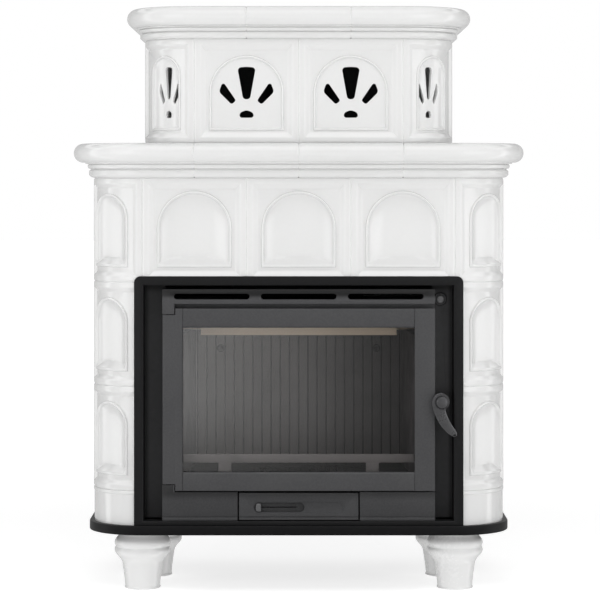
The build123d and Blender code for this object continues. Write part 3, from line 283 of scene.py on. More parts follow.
def build_twisted_rope():
    """Rope of a few strands twisted along the edges of a mesh."""
    strand_points = 5
    tree, given, out = geometry_group(
        "twisted_rope", [("Count", "Int", 900), ("Twist", "Float", 0.3), ("Strands", "Int", 4),
                         ("Radius", "Float", 0.0045), ("Groove", "Float", 0.08)])
    index = added(tree, "GeometryNodeInputIndex").outputs[0]
    place = added(tree, "GeometryNodeInputPosition").outputs[0]
    around = maths(tree, "MULTIPLY", given["Strands"], strand_points)
    sizes = {"Resolution": around, "Radius": given["Radius"]}
    circle = added(tree, "GeometryNodeCurvePrimitiveCircle", sizes).outputs["Curve"]
    angle = maths(tree, "DIVIDE", maths(tree, "MULTIPLY", index, 2 * math.pi), float(strand_points))
    wave = maths(tree, "MULTIPLY", maths(tree, "COSINE", angle), given["Groove"])
    scale = maths(tree, "ADD", wave, 1.0)
    bulge = added(tree, "ShaderNodeVectorMath", {0: place, "Scale": scale}, operation="SCALE").outputs[0]
    lobes = added(tree, "GeometryNodeSetPosition", {"Geometry": circle, "Position": bulge}).outputs[0]
    line = added(tree, "GeometryNodeMeshToCurve", {"Mesh": given["Geometry"]}).outputs[0]
    even = added(tree, "GeometryNodeResampleCurve", {"Curve": line, "Count": given["Count"]}).outputs[0]
    turn = maths(tree, "MULTIPLY", index, given["Twist"])
    twisted = added(tree, "GeometryNodeSetCurveTilt", {"Curve": even, "Tilt": turn}).outputs[0]
    tube = added(tree, "GeometryNodeCurveToMesh", {"Curve": twisted, "Profile Curve": lobes}).outputs[0]
    return finish_mesh(tree, tube, given, out)


def set_on(name, item, places, used):
    """A piece made of one item repeated at places given in millimetres."""
    mesh = bpy.data.meshes.new(name)
    mesh.from_pydata([tuple(c * MM for c in place) for place in places], [], [])
    piece = modelled(link(name, mesh), ON_POINTS, Item=item, Finish=used)
    removed(item)
    smooth(piece.data)
    return piece


# ---------------------------------------------------------------- shader groups
def build_mottle():
    """Slow cloudy change between two colours, with finer specks on top."""
    tree, given, out = new_group(
        "Shader", "cloudy_tone",
        [("Vector", "Vector", (0, 0, 0)), ("Light", "Color", WHITE), ("Dark", "Color", (0.8, 0.8, 0.8, 1)),
         ("Scale", "Float", 6.0), ("Speck Scale", "Float", 90.0), ("Speck Share", "Float", 0.3)],
        [("Color", "Color"), ("Mask", "Float")])
    broad = ranged(tree, noise(tree, given["Vector"], given["Scale"], 3.0), 0.3, 0.7)
    fine = ranged(tree, noise(tree, given["Vector"], given["Speck Scale"], 5.0), 0.35, 0.65)
    specks = maths(tree, "MULTIPLY", fine, given["Speck Share"])
    clouds = maths(tree, "MULTIPLY", broad, maths(tree, "SUBTRACT", 1.0, given["Speck Share"]))
    mask = maths(tree, "ADD", specks, clouds)
    tree.links.new(mixed(tree, mask, given["Light"], given["Dark"]), out["Color"])
    tree.links.new(mask, out["Mask"])
    return tree


def build_grain():
    """Bump of a cast or sprayed surface: fine grain over a slow waviness."""
    tree, given, out = new_group(
        "Shader", "surface_grain",
        [("Vector", "Vector", (0, 0, 0)), ("Grain Scale", "Float", 700.0), ("Grain", "Float", 0.15),
         ("Wave Scale", "Float", 12.0), ("Wave", "Float", 0.1), ("Depth", "Float", 0.0004)],
        [("Normal", "Vector"), ("Height", "Float")])
    fine = noise(tree, given["Vector"], given["Grain Scale"], 3.0, 0.6)
    slow = noise(tree, given["Vector"], given["Wave Scale"], 1.0)
    height = maths(tree, "ADD", maths(tree, "MULTIPLY", fine, given["Grain"]),
                   maths(tree, "MULTIPLY", slow, given["Wave"]))
    bump = added(tree, "ShaderNodeBump", {"Strength": 1.0, "Height": height, "Distance": given["Depth"]})
    tree.links.new(bump.outputs["Normal"], out["Normal"])
    tree.links.new(height, out["Height"])
    return tree


def build_soot():
    """Soot that lies in patches over a clean colour."""
    tree, given, out = new_group(
        "Shader", "soot_film",
        [("Vector", "Vector", (0, 0, 0)), ("Clean", "Color", (0.5, 0.45, 0.4, 1)),
         ("Soot", "Color", (0.02, 0.02, 0.02, 1)), ("Amount", "Float", 0.5), ("Patch Scale", "Float", 9.0)],
        [("Color", "Color"), ("Mask", "Float")])
    patch = noise(tree, given["Vector"], given["Patch Scale"], 6.0, 0.6)
    shifted = maths(tree, "ADD", patch, maths(tree, "SUBTRACT", given["Amount"], 0.5))
    mask = ranged(tree, shifted, 0.3, 0.7)
    tree.links.new(mixed(tree, mask, given["Clean"], given["Soot"]), out["Color"])
    tree.links.new(mask, out["Mask"])
    return tree


MOTTLE, GRAIN, SOOT = build_mottle(), build_grain(), build_soot()
ON_POINTS, TWISTED_ROPE = build_items_on_points(), build_twisted_rope()


# ---------------------------------------------------------------- finishes
def started(name):
    """New material with its tree, its shader's inputs and the object coordinates."""
    made = bpy.data.materials.new(name)
    made.use_nodes = True
    tree = made.node_tree
    place = added(tree, "ShaderNodeTexCoord").outputs["Object"]
    return made, tree, tree.nodes["Principled BSDF"].inputs, place


def grained(tree, shader, place, grain):
    """Gives a material its surface grain."""
    values = zip(("Grain Scale", "Grain", "Wave Scale", "Wave", "Depth"), grain)
    surface = added(tree, "ShaderNodeGroup", {"Vector": place, **dict(values)}, node_tree=GRAIN)
    tree.links.new(surface.outputs["Normal"], shader["Normal"])


def material(name, light, dark, rough, rough_dark, *, grain, metal=0.0, tone=(6.0, 90.0, 0.3), **constants):
    """Material with cloudy colour and roughness and a grained surface."""
    made, tree, shader, place = started(name)
    values = {"Vector": place, "Light": (*light, 1.0), "Dark": (*dark, 1.0)}
    values.update(zip(("Scale", "Speck Scale", "Speck Share"), tone))
    cloud = added(tree, "ShaderNodeGroup", values, node_tree=MOTTLE).outputs
    tree.links.new(cloud["Color"], shader["Base Color"])
    tree.links.new(ranged(tree, cloud["Mask"], 0.0, 1.0, rough, rough_dark), shader["Roughness"])
    grained(tree, shader, place, grain)
    shader["Metallic"].default_value = metal
    for label, number in constants.items():
        shader[label.replace("_", " ").title().replace("Ior", "IOR")].default_value = number
    return made


def sooted(name, clean, soot, amount, rough, patch=9.0, grain=(500.0, 0.3, 30.0, 0.2, 0.0006)):
    """Fire chamber material with soot in patches."""
    made, tree, shader, place = started(name)
    values = {"Vector": place, "Clean": (*clean, 1.0), "Soot": (*soot, 1.0), "Amount": amount,
              "Patch Scale": patch}
    film = added(tree, "ShaderNodeGroup", values, node_tree=SOOT).outputs
    tree.links.new(film["Color"], shader["Base Color"])
    tree.links.new(ranged(tree, film["Mask"], 0.0, 1.0, rough, SOOT_ROUGH), shader["Roughness"])
    grained(tree, shader, place, grain)
    return made


def shaded(made, axis, start, end, share):
    """Paints shade into a material: its colour falls to a share of itself between two places on an axis."""
    tree = made.node_tree
    base = tree.nodes["Principled BSDF"].inputs["Base Color"]
    place = added(tree, "ShaderNodeTexCoord").outputs["Object"]
    along = added(tree, "ShaderNodeSeparateXYZ", {0: place}).outputs[axis]
    fall = ranged(tree, along, start * MM, end * MM, 0.0, 1.0 - share)
    tree.links.new(mixed(tree, fall, base.links[0].from_socket, (0.001, 0.001, 0.001, 1.0)), base)


SOOT_ROUGH = 0.95
# A tone is the clouds' scale, the specks' scale and the specks' share.
# A grain is its scale and height, then the slow wave's scale and height, then the depth of both in metres.
GLAZED = dict(tone=(5.0, 160.0, 0.25), grain=(260.0, 0.02, 22.0, 0.45, 0.0005), specular_ior_level=0.5)
PAINTED = dict(grain=(900.0, 0.12, 8.0, 0.1, 0.0003))
CAST = dict(tone=(9.0, 240.0, 0.5), grain=(520.0, 0.5, 25.0, 0.3, 0.0005))
DULL_METAL = dict(metal=0.3, tone=(60.0, 500.0, 0.5), grain=(900.0, 0.3, 60.0, 0.2, 0.0002))

GLAZE = material("white_tile_glaze", (0.80, 0.80, 0.797), (0.775, 0.775, 0.77), 0.16, 0.24,
                 coat_weight=1.0, coat_roughness=0.03, **GLAZED)
# lighter copy of the tile glaze for the feet: painted light on the feet, which stand in the shade of the tray
LIT_FOOT_GLAZE = material("white_foot_glaze_painted_light", (0.90, 0.90, 0.897), (0.88, 0.88, 0.875), 0.2, 0.28,
                      coat_weight=0.6, coat_roughness=0.05, **GLAZED)
BLACK_PAINT = material("satin_black_paint", (0.011, 0.011, 0.0115), (0.008, 0.008, 0.0085), 0.42, 0.54,
                       specular_ior_level=0.22, **PAINTED)
TRAY_PAINT = material("tray_black_paint", (0.0085, 0.0085, 0.009), (0.0065, 0.0065, 0.007), 0.4, 0.5,
                      grain=(900.0, 0.10, 8.0, 0.1, 0.0003), specular_ior_level=0.15)
CAST_IRON = material("stove_black_casting", (0.059, 0.059, 0.061), (0.047, 0.047, 0.050), 0.5, 0.62,
                     specular_ior_level=0.5, **CAST)
# darker copy of the casting for the base and the drawer front: painted shade
SHADED_BASE_IRON = material("base_casting_painted_shade", (0.043, 0.043, 0.045), (0.033, 0.033, 0.035), 0.5, 0.62,
                     specular_ior_level=0.5, **CAST)
# casting of the front plate, with painted shade towards the top of its strip
SHADED_STRIP_IRON = material("strip_casting_painted_shade", (0.057, 0.057, 0.059), (0.047, 0.047, 0.050), 0.5, 0.62,
                      specular_ior_level=0.45, **CAST)
# darker casting for the floor of the slider's pocket: painted shade in the recess
SHADED_RECESS_IRON = material("recess_casting_painted_shade", (0.030, 0.030, 0.031), (0.022, 0.022, 0.023), 0.55, 0.65,
                       specular_ior_level=0.4, **CAST)
# grey copy of the black paint for the recessed side panels and the damper collar: painted light, with painted
# shade at the panels' top and ends
LIT_PANEL_PAINT = material("side_panel_paint_painted_light", (0.060, 0.060, 0.062), (0.048, 0.048, 0.050), 0.42, 0.52,
                       specular_ior_level=0.4, **PAINTED)
HANDLE_IRON = material("polished_handle_casting", (0.17, 0.17, 0.174), (0.125, 0.125, 0.13), 0.26, 0.36,
                       metal=0.7, tone=(30.0, 300.0, 0.4), grain=(600.0, 0.3, 40.0, 0.2, 0.0003))
DARK_SHEET = material("dark_sheet", (0.008, 0.008, 0.0085), (0.004, 0.004, 0.0045), 0.6, 0.75,
                      tone=(4.0, 120.0, 0.3), grain=(800.0, 0.2, 6.0, 0.3, 0.0004), specular_ior_level=0.04)
BACK_SHEET = material("galvanised_sheet", (0.42, 0.43, 0.44), (0.33, 0.34, 0.35), 0.38, 0.5, metal=0.85,
                      tone=(35.0, 60.0, 0.6), grain=(200.0, 0.1, 5.0, 0.4, 0.0004))
INNER_SHEET = material("sooty_inner_sheet", (0.05, 0.05, 0.051), (0.035, 0.035, 0.036), 0.7, 0.8,
                       tone=(8.0, 120.0, 0.4), grain=(800.0, 0.2, 6.0, 0.3, 0.0004), specular_ior_level=0.1)
STEEL = material("bare_steel", (0.34, 0.34, 0.35), (0.25, 0.25, 0.26), 0.3, 0.42, metal=1.0,
                 tone=(40.0, 400.0, 0.5), grain=(900.0, 0.2, 30.0, 0.1, 0.0002))
ROPE = material("glass_fibre_rope", (0.10, 0.10, 0.10), (0.05, 0.05, 0.05), 0.9, 0.95,
                tone=(60.0, 900.0, 0.5), grain=(1500.0, 0.8, 200.0, 0.2, 0.0006))
BAFFLE_CLAY = sooted("baffle_board", (0.95, 0.78, 0.60), (0.70, 0.56, 0.42), 0.1, 0.8)
LINING_CLAY = sooted("side_board", (0.085, 0.078, 0.081), (0.035, 0.033, 0.034), 0.5, 0.85)
FIRE_IRON = sooted("chamber_iron", (0.29, 0.274, 0.272), (0.19, 0.181, 0.179), 0.45, 0.85, 5.0,
                   (500.0, 0.1, 30.0, 0.1, 0.0003))
LOG_BAR_IRON = sooted("log_bar_iron", (0.19, 0.178, 0.178), (0.12, 0.114, 0.114), 0.35, 0.8)
HEARTH_IRON = sooted("hearth_iron", (0.010, 0.0095, 0.0095), (0.004, 0.004, 0.004), 0.6, 0.85)
SLIDE_PAINT = material("slide_plate_paint", (0.075, 0.075, 0.077), (0.055, 0.055, 0.057), 0.5, 0.6,
                       tone=(20.0, 240.0, 0.4), grain=(700.0, 0.3, 20.0, 0.2, 0.0003))
KNOB_METAL = material("dull_knob_metal", (0.30, 0.30, 0.305), (0.22, 0.22, 0.225), 0.42, 0.5, **DULL_METAL)
GRIP_METAL = material("air_slide_grip_metal", (0.15, 0.15, 0.153), (0.10, 0.10, 0.103), 0.42, 0.5,
                      **DULL_METAL)

shaded(SHADED_STRIP_IRON, "Z", 626.0, 636.0, 0.18)        # strip, painted shade darker towards its top, round the air slots
shaded(SHADED_BASE_IRON, "Z", 196.0, 215.0, 0.4)          # base, painted shade darker towards its top, under the door
shaded(SHADED_BASE_IRON, "Z", 155.0, 150.0, 0.2)          # and painted shade along its foot, above the tray
shaded(LIT_PANEL_PAINT, "Z", 636.0, 650.0, 0.3)        # side panels, painted shade darker towards their top
shaded(LIT_PANEL_PAINT, "X", 318.0, 328.0, 0.3)        # and painted shade towards the right end
shaded(LIT_PANEL_PAINT, "X", -318.0, -328.0, 0.3)      # and painted shade towards the left end
shaded(FIRE_IRON, "X", -220.0, 190.0, 0.24)        # fireback, painted light and shade: lit at its left end, darker towards the right


def fire_glass():
    """Heat-proof pane with a faint smoky film."""
    made, tree, shader, place = started("fire_pane_glass")
    film = ranged(tree, noise(tree, place, 5.0, 5.0, 0.6), 0.35, 0.75)
    tree.links.new(mixed(tree, film, (0.93, 0.92, 0.91, 1.0), (0.88, 0.87, 0.86, 1.0)), shader["Base Color"])
    for label, number in (("Roughness", 0.0), ("Transmission Weight", 1.0), ("IOR", 1.5)):
        shader[label].default_value = number
    clear = added(tree, "ShaderNodeBsdfTransparent", {"Color": (0.97, 0.97, 0.97, 1.0)}).outputs[0]
    shadow = added(tree, "ShaderNodeLightPath").outputs["Is Shadow Ray"]
    pane = tree.nodes["Principled BSDF"].outputs[0]
    blend = added(tree, "ShaderNodeMixShader", {0: shadow, 1: pane, 2: clear})
    tree.links.new(blend.outputs[0], tree.nodes["Material Output"].inputs["Surface"])
    return made


GLASS = fire_glass()


# ---------------------------------------------------------------- tile outlines
def square_ring(wide, high, inset):
    """Ring of a rectangle drawn in from its edge, four sides of equal point counts."""
    w, h = wide - inset, high - inset
    t = np.arange(SIDE_POINTS) / SIDE_POINTS
    bottom = np.stack([-w + 2 * w * t, np.full_like(t, -h)], 1)
    right = np.stack([np.full_like(t, w), -h + 2 * h * t], 1)
    return np.concatenate([bottom, right, -bottom, -right])


def arch_ring(half, low, top, inset, shift=0.0):
    """Ring of a round-headed arch drawn in from its edge, with its points matched to square_ring."""
    w = half - inset
    spring = top - half
    t = np.arange(SIDE_POINTS) / SIDE_POINTS
    bottom = np.stack([-w + 2 * w * t, np.full_like(t, low + inset)], 1)
    straight = SIDE_POINTS // 2
    rise = np.arange(straight) / straight
    foot = np.stack([np.full_like(rise, w), low + inset + (spring - low - inset) * rise], 1)
    turn = np.arange(SIDE_POINTS - straight) / (SIDE_POINTS - straight) * math.pi / 4
    head = np.stack([w * np.cos(turn), spring + w * np.sin(turn)], 1)
    right = np.concatenate([foot, head])
    over = math.pi / 4 + t * math.pi / 2
    crown = np.stack([w * np.cos(over), spring + w * np.sin(over)], 1)
    left = right[::-1] * (-1, 1)
    left = np.concatenate([[(-w * math.cos(math.pi / 4), spring + w * math.sin(math.pi / 4))], left[:-1]])
    return np.concatenate([bottom, right, crown, left]) + (shift, 0.0)


def step(value):
    """Smooth step from 0 to 1."""
    value = np.clip(value, 0.0, 1.0)
    return value * value * (3 - 2 * value)


def with_depth(ring, depth):
    """Adds a depth column to a flat ring."""
    return np.column_stack([ring, np.broadcast_to(depth, len(ring))])


def border_rings(wide):
    """Rounded edge, flat border, sloping strip and field, from the back of the face to the field."""
    rings = [with_depth(square_ring(wide, FACE_HALF, 0.0), d) for d in (TILE_T, 7.0, 2.1)]
    edge = ((0.3, 1.75), (0.9, 1.2), (1.8, 0.7), (3.0, 0.3), (4.4, 0.08), (5.8, 0.0), (BAND_IN - 1.0, 0.0))
    for inset, depth in edge:
        rings.append(with_depth(square_ring(wide, FACE_HALF, inset), depth))
    run = min(COVE_IN - BAND_IN, wide * 0.12)
    for share in (0.0, 0.04, 0.1, 0.2, 0.35, 0.5, 0.65, 0.8, 0.88, 0.94, 0.98, 1.0):
        inset = BAND_IN + run * share
        depth = FIELD * (0.45 * share + 0.55 * step(share))
        rings.append(with_depth(square_ring(wide, FACE_HALF, inset), depth))
    rings.append(with_depth(square_ring(wide, FACE_HALF, BAND_IN + run + 0.8), FIELD))
    return rings


def rim_rings(half, low, top, crest, drop, sill, shift=0.0):
    """Rings over the rounded rim of an arch; its inner fall fades out above the sill."""
    outer_round, fall_start, fade_run = 2.8, 3.0, 3.0
    rings = [with_depth(arch_ring(half, low, top, -0.6, shift), FIELD)]
    for inset in (0.0, 0.3, 0.7, 1.2, 1.9, 2.7, 3.5, 4.3, 5.1, 5.8, RIM_W):
        ring = arch_ring(half, low, top, inset, shift)
        rise = math.sqrt(max(0.0, 1 - (1 - min(inset / outer_round, 1.0)) ** 2))
        fall = step((inset - fall_start) / (RIM_W - fall_start)) * drop
        fade = step((ring[:, 1] - sill - inset) / fade_run)
        rings.append(with_depth(ring, FIELD + (crest - FIELD) * rise + fall * fade))
    return rings


def niche_depth(ring, half, low, top):
    """Depth of the concave niche: half round with a domed head, over a sloping sill."""
    w = half - RIM_W
    spring = top - half
    up = np.maximum(ring[:, 1] - spring, 0.0)
    r = np.clip(np.hypot(ring[:, 0], up) / w, 0.0, 1.0)
    wall = RIM_CREST + NICHE_DROP + min(NICHE_D, w * 0.3) * np.sqrt(1 - r ** 2)
    sill = RIM_CREST + SILL_SLOPE * (ring[:, 1] - low - RIM_W)
    blend = 1.4
    mix = np.clip(0.5 + 0.5 * (sill - wall) / blend, 0, 1)
    return sill * (1 - mix) + wall * mix - blend * mix * (1 - mix)


def back_rings(wide):
    """Collar behind a tile, from its outside round to the back of the face."""
    outer, inner = COLLAR_INSET, COLLAR_INSET + COLLAR_T
    places = ((0.0, TILE_T), (outer, TILE_T), (outer, COLLAR_BACK), (inner, COLLAR_BACK), (inner, TILE_T))
    return [with_depth(square_ring(wide, FACE_HALF, inset), depth) for inset, depth in places]


def niche_tile(wide, half, top=ARCH_TOP):
    """Rings of a tile with an arched niche, from the middle of its face round to the middle of its back."""
    low = ARCH_LOW
    front = border_rings(wide) + rim_rings(half, low, top, RIM_CREST, NICHE_DROP, low)
    w = half - RIM_W
    for r in (0.998, 0.985, 0.96, 0.93, 0.89, 0.84, 0.78, 0.7, 0.6, 0.5, 0.38, 0.25, 0.12, 0.0):
        ring = arch_ring(half, low, top, RIM_W + w * (1 - r))
        front.append(with_depth(ring, niche_depth(ring, half, low, top)))
    back = back_rings(wide)
    for inset, depth in ((0.0, TILE_T), (0.0, NICHE_BACK), (half, NICHE_BACK)):
        back.append(with_depth(arch_ring(half, low, top, inset), depth))
    return [loft(front[::-1] + back)]


def rounded(corners, radii, steps=7):
    """Closed outline with each corner rounded by its own radius."""
    outline = []
    for i, corner in enumerate(corners):
        p = np.array(corner, float)
        neighbours = (corners[i - 1], corners[(i + 1) % len(corners)])
        before, after = (np.array(other, float) - p for other in neighbours)
        before /= np.linalg.norm(before)
        after /= np.linalg.norm(after)
        half_angle = math.acos(np.clip(before @ after, -1, 1)) / 2
        reach = radii[i] / math.tan(half_angle)
        middle = (before + after) / np.linalg.norm(before + after)
        centre = p + middle * radii[i] / math.sin(half_angle)
        start, end = p + before * reach - centre, p + after * reach - centre
        sweep = math.atan2(start[0] * end[1] - start[1] * end[0], start @ end)
        for k in range(steps + 1):
            c, s = math.cos(sweep * k / steps), math.sin(sweep * k / steps)
            outline.append(centre + (start[0] * c - start[1] * s, start[0] * s + start[1] * c))
    return np.array(outline)


def fan_outlines(squeeze):
    """Pierced ornament: wedge, two petals and a half moon."""
    wedge = rounded([(-19.4, 49.8), (0, 51.4), (19.4, 49.8), (7.2, -17.5), (-7.2, -17.5)],
                    [7.0, 40.0, 7.0, 7.6, 7.6])
    petal = rounded([(-50.4, 20.5), (-58.6, -2.0), (-32.0, -28.6), (-22.4, -20.6)], [4.4, 9.5, 4.8, 4.8])
    moon = rounded([(-17.5, -56.9), (17.5, -56.9), (12.5, -45.5), (0, -40.6), (-12.5, -45.5)],
                   [5.2, 5.2, 8.0, 14.0, 8.0])
    return [shape * (squeeze, 1) for shape in (wedge, petal, petal[::-1] * (-1, 1), moon)]


def inside_outline(x, y, outline):
    """Whether a point lies inside a closed outline."""
    inside = False
    px, py = outline[-1]
    for qx, qy in outline:
        if (qy > y) != (py > y) and x < (px - qx) * (y - qy) / (py - qy) + qx:
            inside = not inside
        px, py = qx, qy
    return inside


def grown(outline, amount):
    """Outline moved outwards along its own normals."""
    ahead = np.roll(outline, -1, 0) - np.roll(outline, 1, 0)
    side = np.stack([ahead[:, 1], -ahead[:, 0]], 1)
    side /= np.linalg.norm(side, axis=1)[:, None]
    area = np.sum(outline[:, 0] * np.roll(outline[:, 1], -1) - np.roll(outline[:, 0], -1) * outline[:, 1])
    return outline + side * amount * (1 if area > 0 else -1)


def pierced_sheet(border, holes, depth, grid=9.0):
    """Flat sheet at one depth inside a border ring, with holes, cut into small triangles."""
    points = [tuple(p) for p in border]
    edges = [(i, (i + 1) % len(border)) for i in range(len(border))]
    for hole in holes:
        base = len(points)
        points += [tuple(p) for p in hole]
        edges += [(base + i, base + (i + 1) % len(hole)) for i in range(len(hole))]
    low, high = border.min(0), border.max(0)
    for x in np.arange(low[0] + grid, high[0] - 1, grid):
        for y in np.arange(low[1] + grid, high[1] - 1, grid):
            near_edge = min(np.min(np.hypot(*(shape - (x, y)).T)) for shape in [border, *holes])
            if near_edge > grid * 0.45 and inside_outline(x, y, border):
                points.append((x, y))
    flat = [Vector(p) for p in points]
    made = geometry.delaunay_2d_cdt(flat, edges, [], 1, 1e-6)
    faces = []
    for face in made[2]:
        x, y = np.mean([made[0][i] for i in face], 0)
        if not any(inside_outline(x, y, hole) for hole in holes):
            faces.append(tuple(face))
    return [(p[0], p[1], depth) for p in made[0]], faces


def pierced_tile(wide, half, squeeze=1.0, turn=0.0, fan_turn=0.0):
    """Tile with an arched panel, pierced right through."""
    crest, panel, lip = 2.0, 6.6, 1.3
    low, top = CROWN_ARCH_LOW, CROWN_ARCH_TOP
    below = low - 20           # the rim keeps its inner fall all round
    front = border_rings(wide) + rim_rings(half, low, top, crest, panel - crest, below, turn)
    back = back_rings(wide)
    parts = [loft(front[::-1]), loft(back)]
    holes = [hole + (turn + fan_turn, 0.0) for hole in fan_outlines(squeeze)]
    wide_holes = [grown(hole, lip) for hole in holes]
    inner = arch_ring(half, low, top, RIM_W, turn)
    parts.append(pierced_sheet(inner, wide_holes, panel))
    parts.append(pierced_sheet(back[-1][:, :2], holes, TILE_T, 14.0))
    for hole, wide_hole in zip(holes, wide_holes):
        rings = [with_depth(wide_hole, panel)]
        for share in (0.3, 0.6, 0.85, 1.0):
            angle = share * math.pi / 2
            out = lip * (1 - math.sin(angle))
            rings.append(with_depth(grown(hole, out), panel + lip * (1 - math.cos(angle))))
        rings.append(with_depth(hole, TILE_T))
        parts.append(loft(rings))
    return parts


def flat_plate(outline, holes, y0, y1):
    """Plate parallel to the front, with holes, as points in x, y, z."""
    parts = []
    for depth in (y0, y1):
        points, faces = pierced_sheet(outline, holes, depth, 10000.0)
        parts.append(([(x, d, z) for x, z, d in points], faces))
    for ring in (outline, *holes):
        parts.append(loft([[(x, y, z) for x, z in ring] for y in (y0, y1)]))
    return parts


def stadium(x0, x1, z, high):
    """Outline of a slot with round ends."""
    r, steps = high / 2, 9
    return np.array(arc_points(x1 - r, z, r, -90, 90, steps) + arc_points(x0 + r, z, r, 90, 270, steps))


def placed_flat(parts, x, y, z, side=None):
    """Tile parts stood up on the front, or on a side when side is -1 or 1."""
    placed = []
    for points, faces in parts:
        p = np.asarray(points, float)
        if side is None:
            spot = np.stack([x + p[:, 0], y + p[:, 2], z + p[:, 1]], 1)
        else:
            spot = np.stack([x - side * p[:, 2], y + side * p[:, 0], z + p[:, 1]], 1)
        placed.append((spot, faces))
    return placed


def placed_round(parts, x, y, z, side):
    """Tile parts bent round a vertical corner whose arc centre is x, y."""
    placed = []
    for points, faces in parts:
        p = np.asarray(points, float)
        angle = p[:, 0] / CORNER_R + side * math.pi / 4
        r = CORNER_R - p[:, 2]
        spot = np.stack([x + r * np.sin(angle), y - r * np.cos(angle), z + p[:, 1]], 1)
        placed.append((spot, faces))
    return placed


# ---------------------------------------------------------------- tiles in place
def make_tiles():
    """All the niche tiles and pierced tiles, each standing for its own node."""
    round_wide = CORNER_R * math.pi / 4 - JOINT / 2
    plain = niche_tile(FACE_HALF, ARCH_HALF)
    curved = niche_tile(round_wide, CORNER_ARCH_HALF, CORNER_ARCH_TOP)
    narrow = niche_tile(HALF_TILE / 2 - JOINT / 2, NARROW_ARCH_HALF)
    pierced = pierced_tile(FACE_HALF, ARCH_HALF)

    for index, name in enumerate(("left", "center", "right")):
        parts = placed_flat(plain, (index - 1) * MODULE, FRONT, CORNICE_Z - HALF_TILE)
        glazed(f"niche_tile_{name}", parts, f"front_tile_{name}")
    rows = [ROWS_Z + (row + 0.5) * MODULE for row in range(3)]
    crown_row = CROWN_Z + HALF_TILE
    whole_y, narrow_y = ARC_Y + HALF_TILE, BACK - HALF_TILE / 2
    crown_sides = []
    for side, name in SIDES:
        for row, z in enumerate(rows):
            parts = placed_round(curved, side * (BODY_HALF - CORNER_R), ARC_Y, z, side)
            glazed(f"round_tile_{name}_{row + 1}", parts, f"corner_tile_{name}_{row + 1}")
        parts = []
        for z in rows:
            parts += placed_flat(plain, side * BODY_HALF, whole_y, z, side)
            parts += placed_flat(narrow, side * BODY_HALF, narrow_y, z, side)
        glazed(f"side_wall_tiles_{name}", parts, f"side_tiles_{name}")
        parts = placed_flat(pierced, side * HALF_TILE, FRONT, crown_row)
        glazed(f"pierced_tile_{name}", parts, f"crown_tile_{name}")
        turns = (-side * CROWN_TURN, -side * FAN_TURN)
        bent = pierced_tile(round_wide, CROWN_CORNER_HALF, CROWN_SQUEEZE, *turns)
        bent = placed_round(bent, side * (CROWN_HALF - CORNER_R), ARC_Y, crown_row, side)
        glazed(f"pierced_round_{name}", bent, f"crown_corner_{name}")
        crown_sides += placed_flat(pierced, side * CROWN_HALF, whole_y, crown_row, side)
        crown_sides += placed_flat(narrow, side * CROWN_HALF, narrow_y, crown_row, side)
    glazed("crown_side_tiles", crown_sides, "crown_sides")


# ---------------------------------------------------------------- cornices and plinth
def arc_points(cx, cy, radius, start, end, steps):
    """Points of an arc, angles in degrees."""
    angles = np.radians(np.linspace(start, end, steps))
    return [(cx + radius * math.cos(a), cy + radius * math.sin(a)) for a in angles]


def cornice_section(z, height, out):
    """Section of a cornice as (out, up) points: flat top, round nose, two fine steps, roll and small cove."""
    drawn_height = 33.0        # height of the small mouldings as they are drawn here
    nose = height - NOSE_R
    points = [(-0.6, 0.0), (0.8, 0.5), (4.5, 1.4), (7.3, 3.0), (8.6, 4.4)]
    points += arc_points(7.4, 8.0, 3.4, -58, 0, 6) + arc_points(7.4, 13.6, 3.4, 0, 66, 7)
    points += [(8.2, 17.4), (6.2, 18.7), (8.8, 19.7), (11.6, 20.6), (13.0, 22.4), (13.7, 24.8), (13.6, 27.4),
               (11.4, 29.0), (14.4, 30.1), (17.4, 30.5), (18.9, 31.4), (19.5, 32.7)]
    points = [(-TILE_T, 0.0)] + [(x, y * ((nose - NOSE_R) / drawn_height)) for x, y in points]
    points += arc_points(out - NOSE_R, nose, NOSE_R, -92, 90, 26)
    points += [(out - NOSE_R - 8, height), (-TILE_T, height)]
    return np.array(points) + (0, z)


def stood(section, station):
    """Section stood up at a station of (x, y, outward x, outward y)."""
    x, y, nx, ny = station
    return np.stack([x + nx * section[:, 0], y + ny * section[:, 0], section[:, 1]], 1)


def swept(section, stations, ease=1.8):
    """Section carried along stations, its two ends slightly rounded."""
    inward = section.mean(0) - section
    pulled = section + inward / np.linalg.norm(inward, axis=1)[:, None] * ease
    rings = [stood(section, station) for station in stations]
    for end, inner in ((0, 1), (-1, -2)):
        along = np.subtract(stations[inner][:2], stations[end][:2])
        eased = rings[end] + np.append(along / np.linalg.norm(along) * ease, 0.0)
        tip = stood(pulled, stations[end])
        rings = [tip, eased] + rings[1:] if end == 0 else rings[:-1] + [eased, tip]
    return loft(rings, cap_start=True, cap_end=True)


def corner_stations(cx, steps, short=0.0):
    """Stations round the arc of a left front corner, which can stop short of its two ends by an angle."""
    angles = np.linspace(-math.pi / 2 - short, -math.pi + short, steps)
    outwards = [(math.cos(a), math.sin(a)) for a in angles]
    return [(cx + CORNER_R * nx, ARC_Y + CORNER_R * ny, nx, ny) for nx, ny in outwards]


def corner_path(half):
    """Stations round the left front corner, from the front lead to the side lead."""
    cx = -half + CORNER_R
    path = [(cx + lead, FRONT, 0.0, -1.0) for lead in (FACE_HALF, FACE_HALF / 2)]
    path += corner_stations(cx, 23)
    return path + [(-half, ARC_Y + lead, -1.0, 0.0) for lead in (FACE_HALF / 2, FACE_HALF)]


def prism(outline, z0, z1):
    """Plan outline given height."""
    return loft([[(x, y, z) for x, y in outline] for z in (z0, z1)], cap_start=True, cap_end=True)


def mirrored(parts):
    """Parts on the other side of the stove."""
    return [(np.asarray(points, float) * (-1, 1, 1), faces) for points, faces in parts]


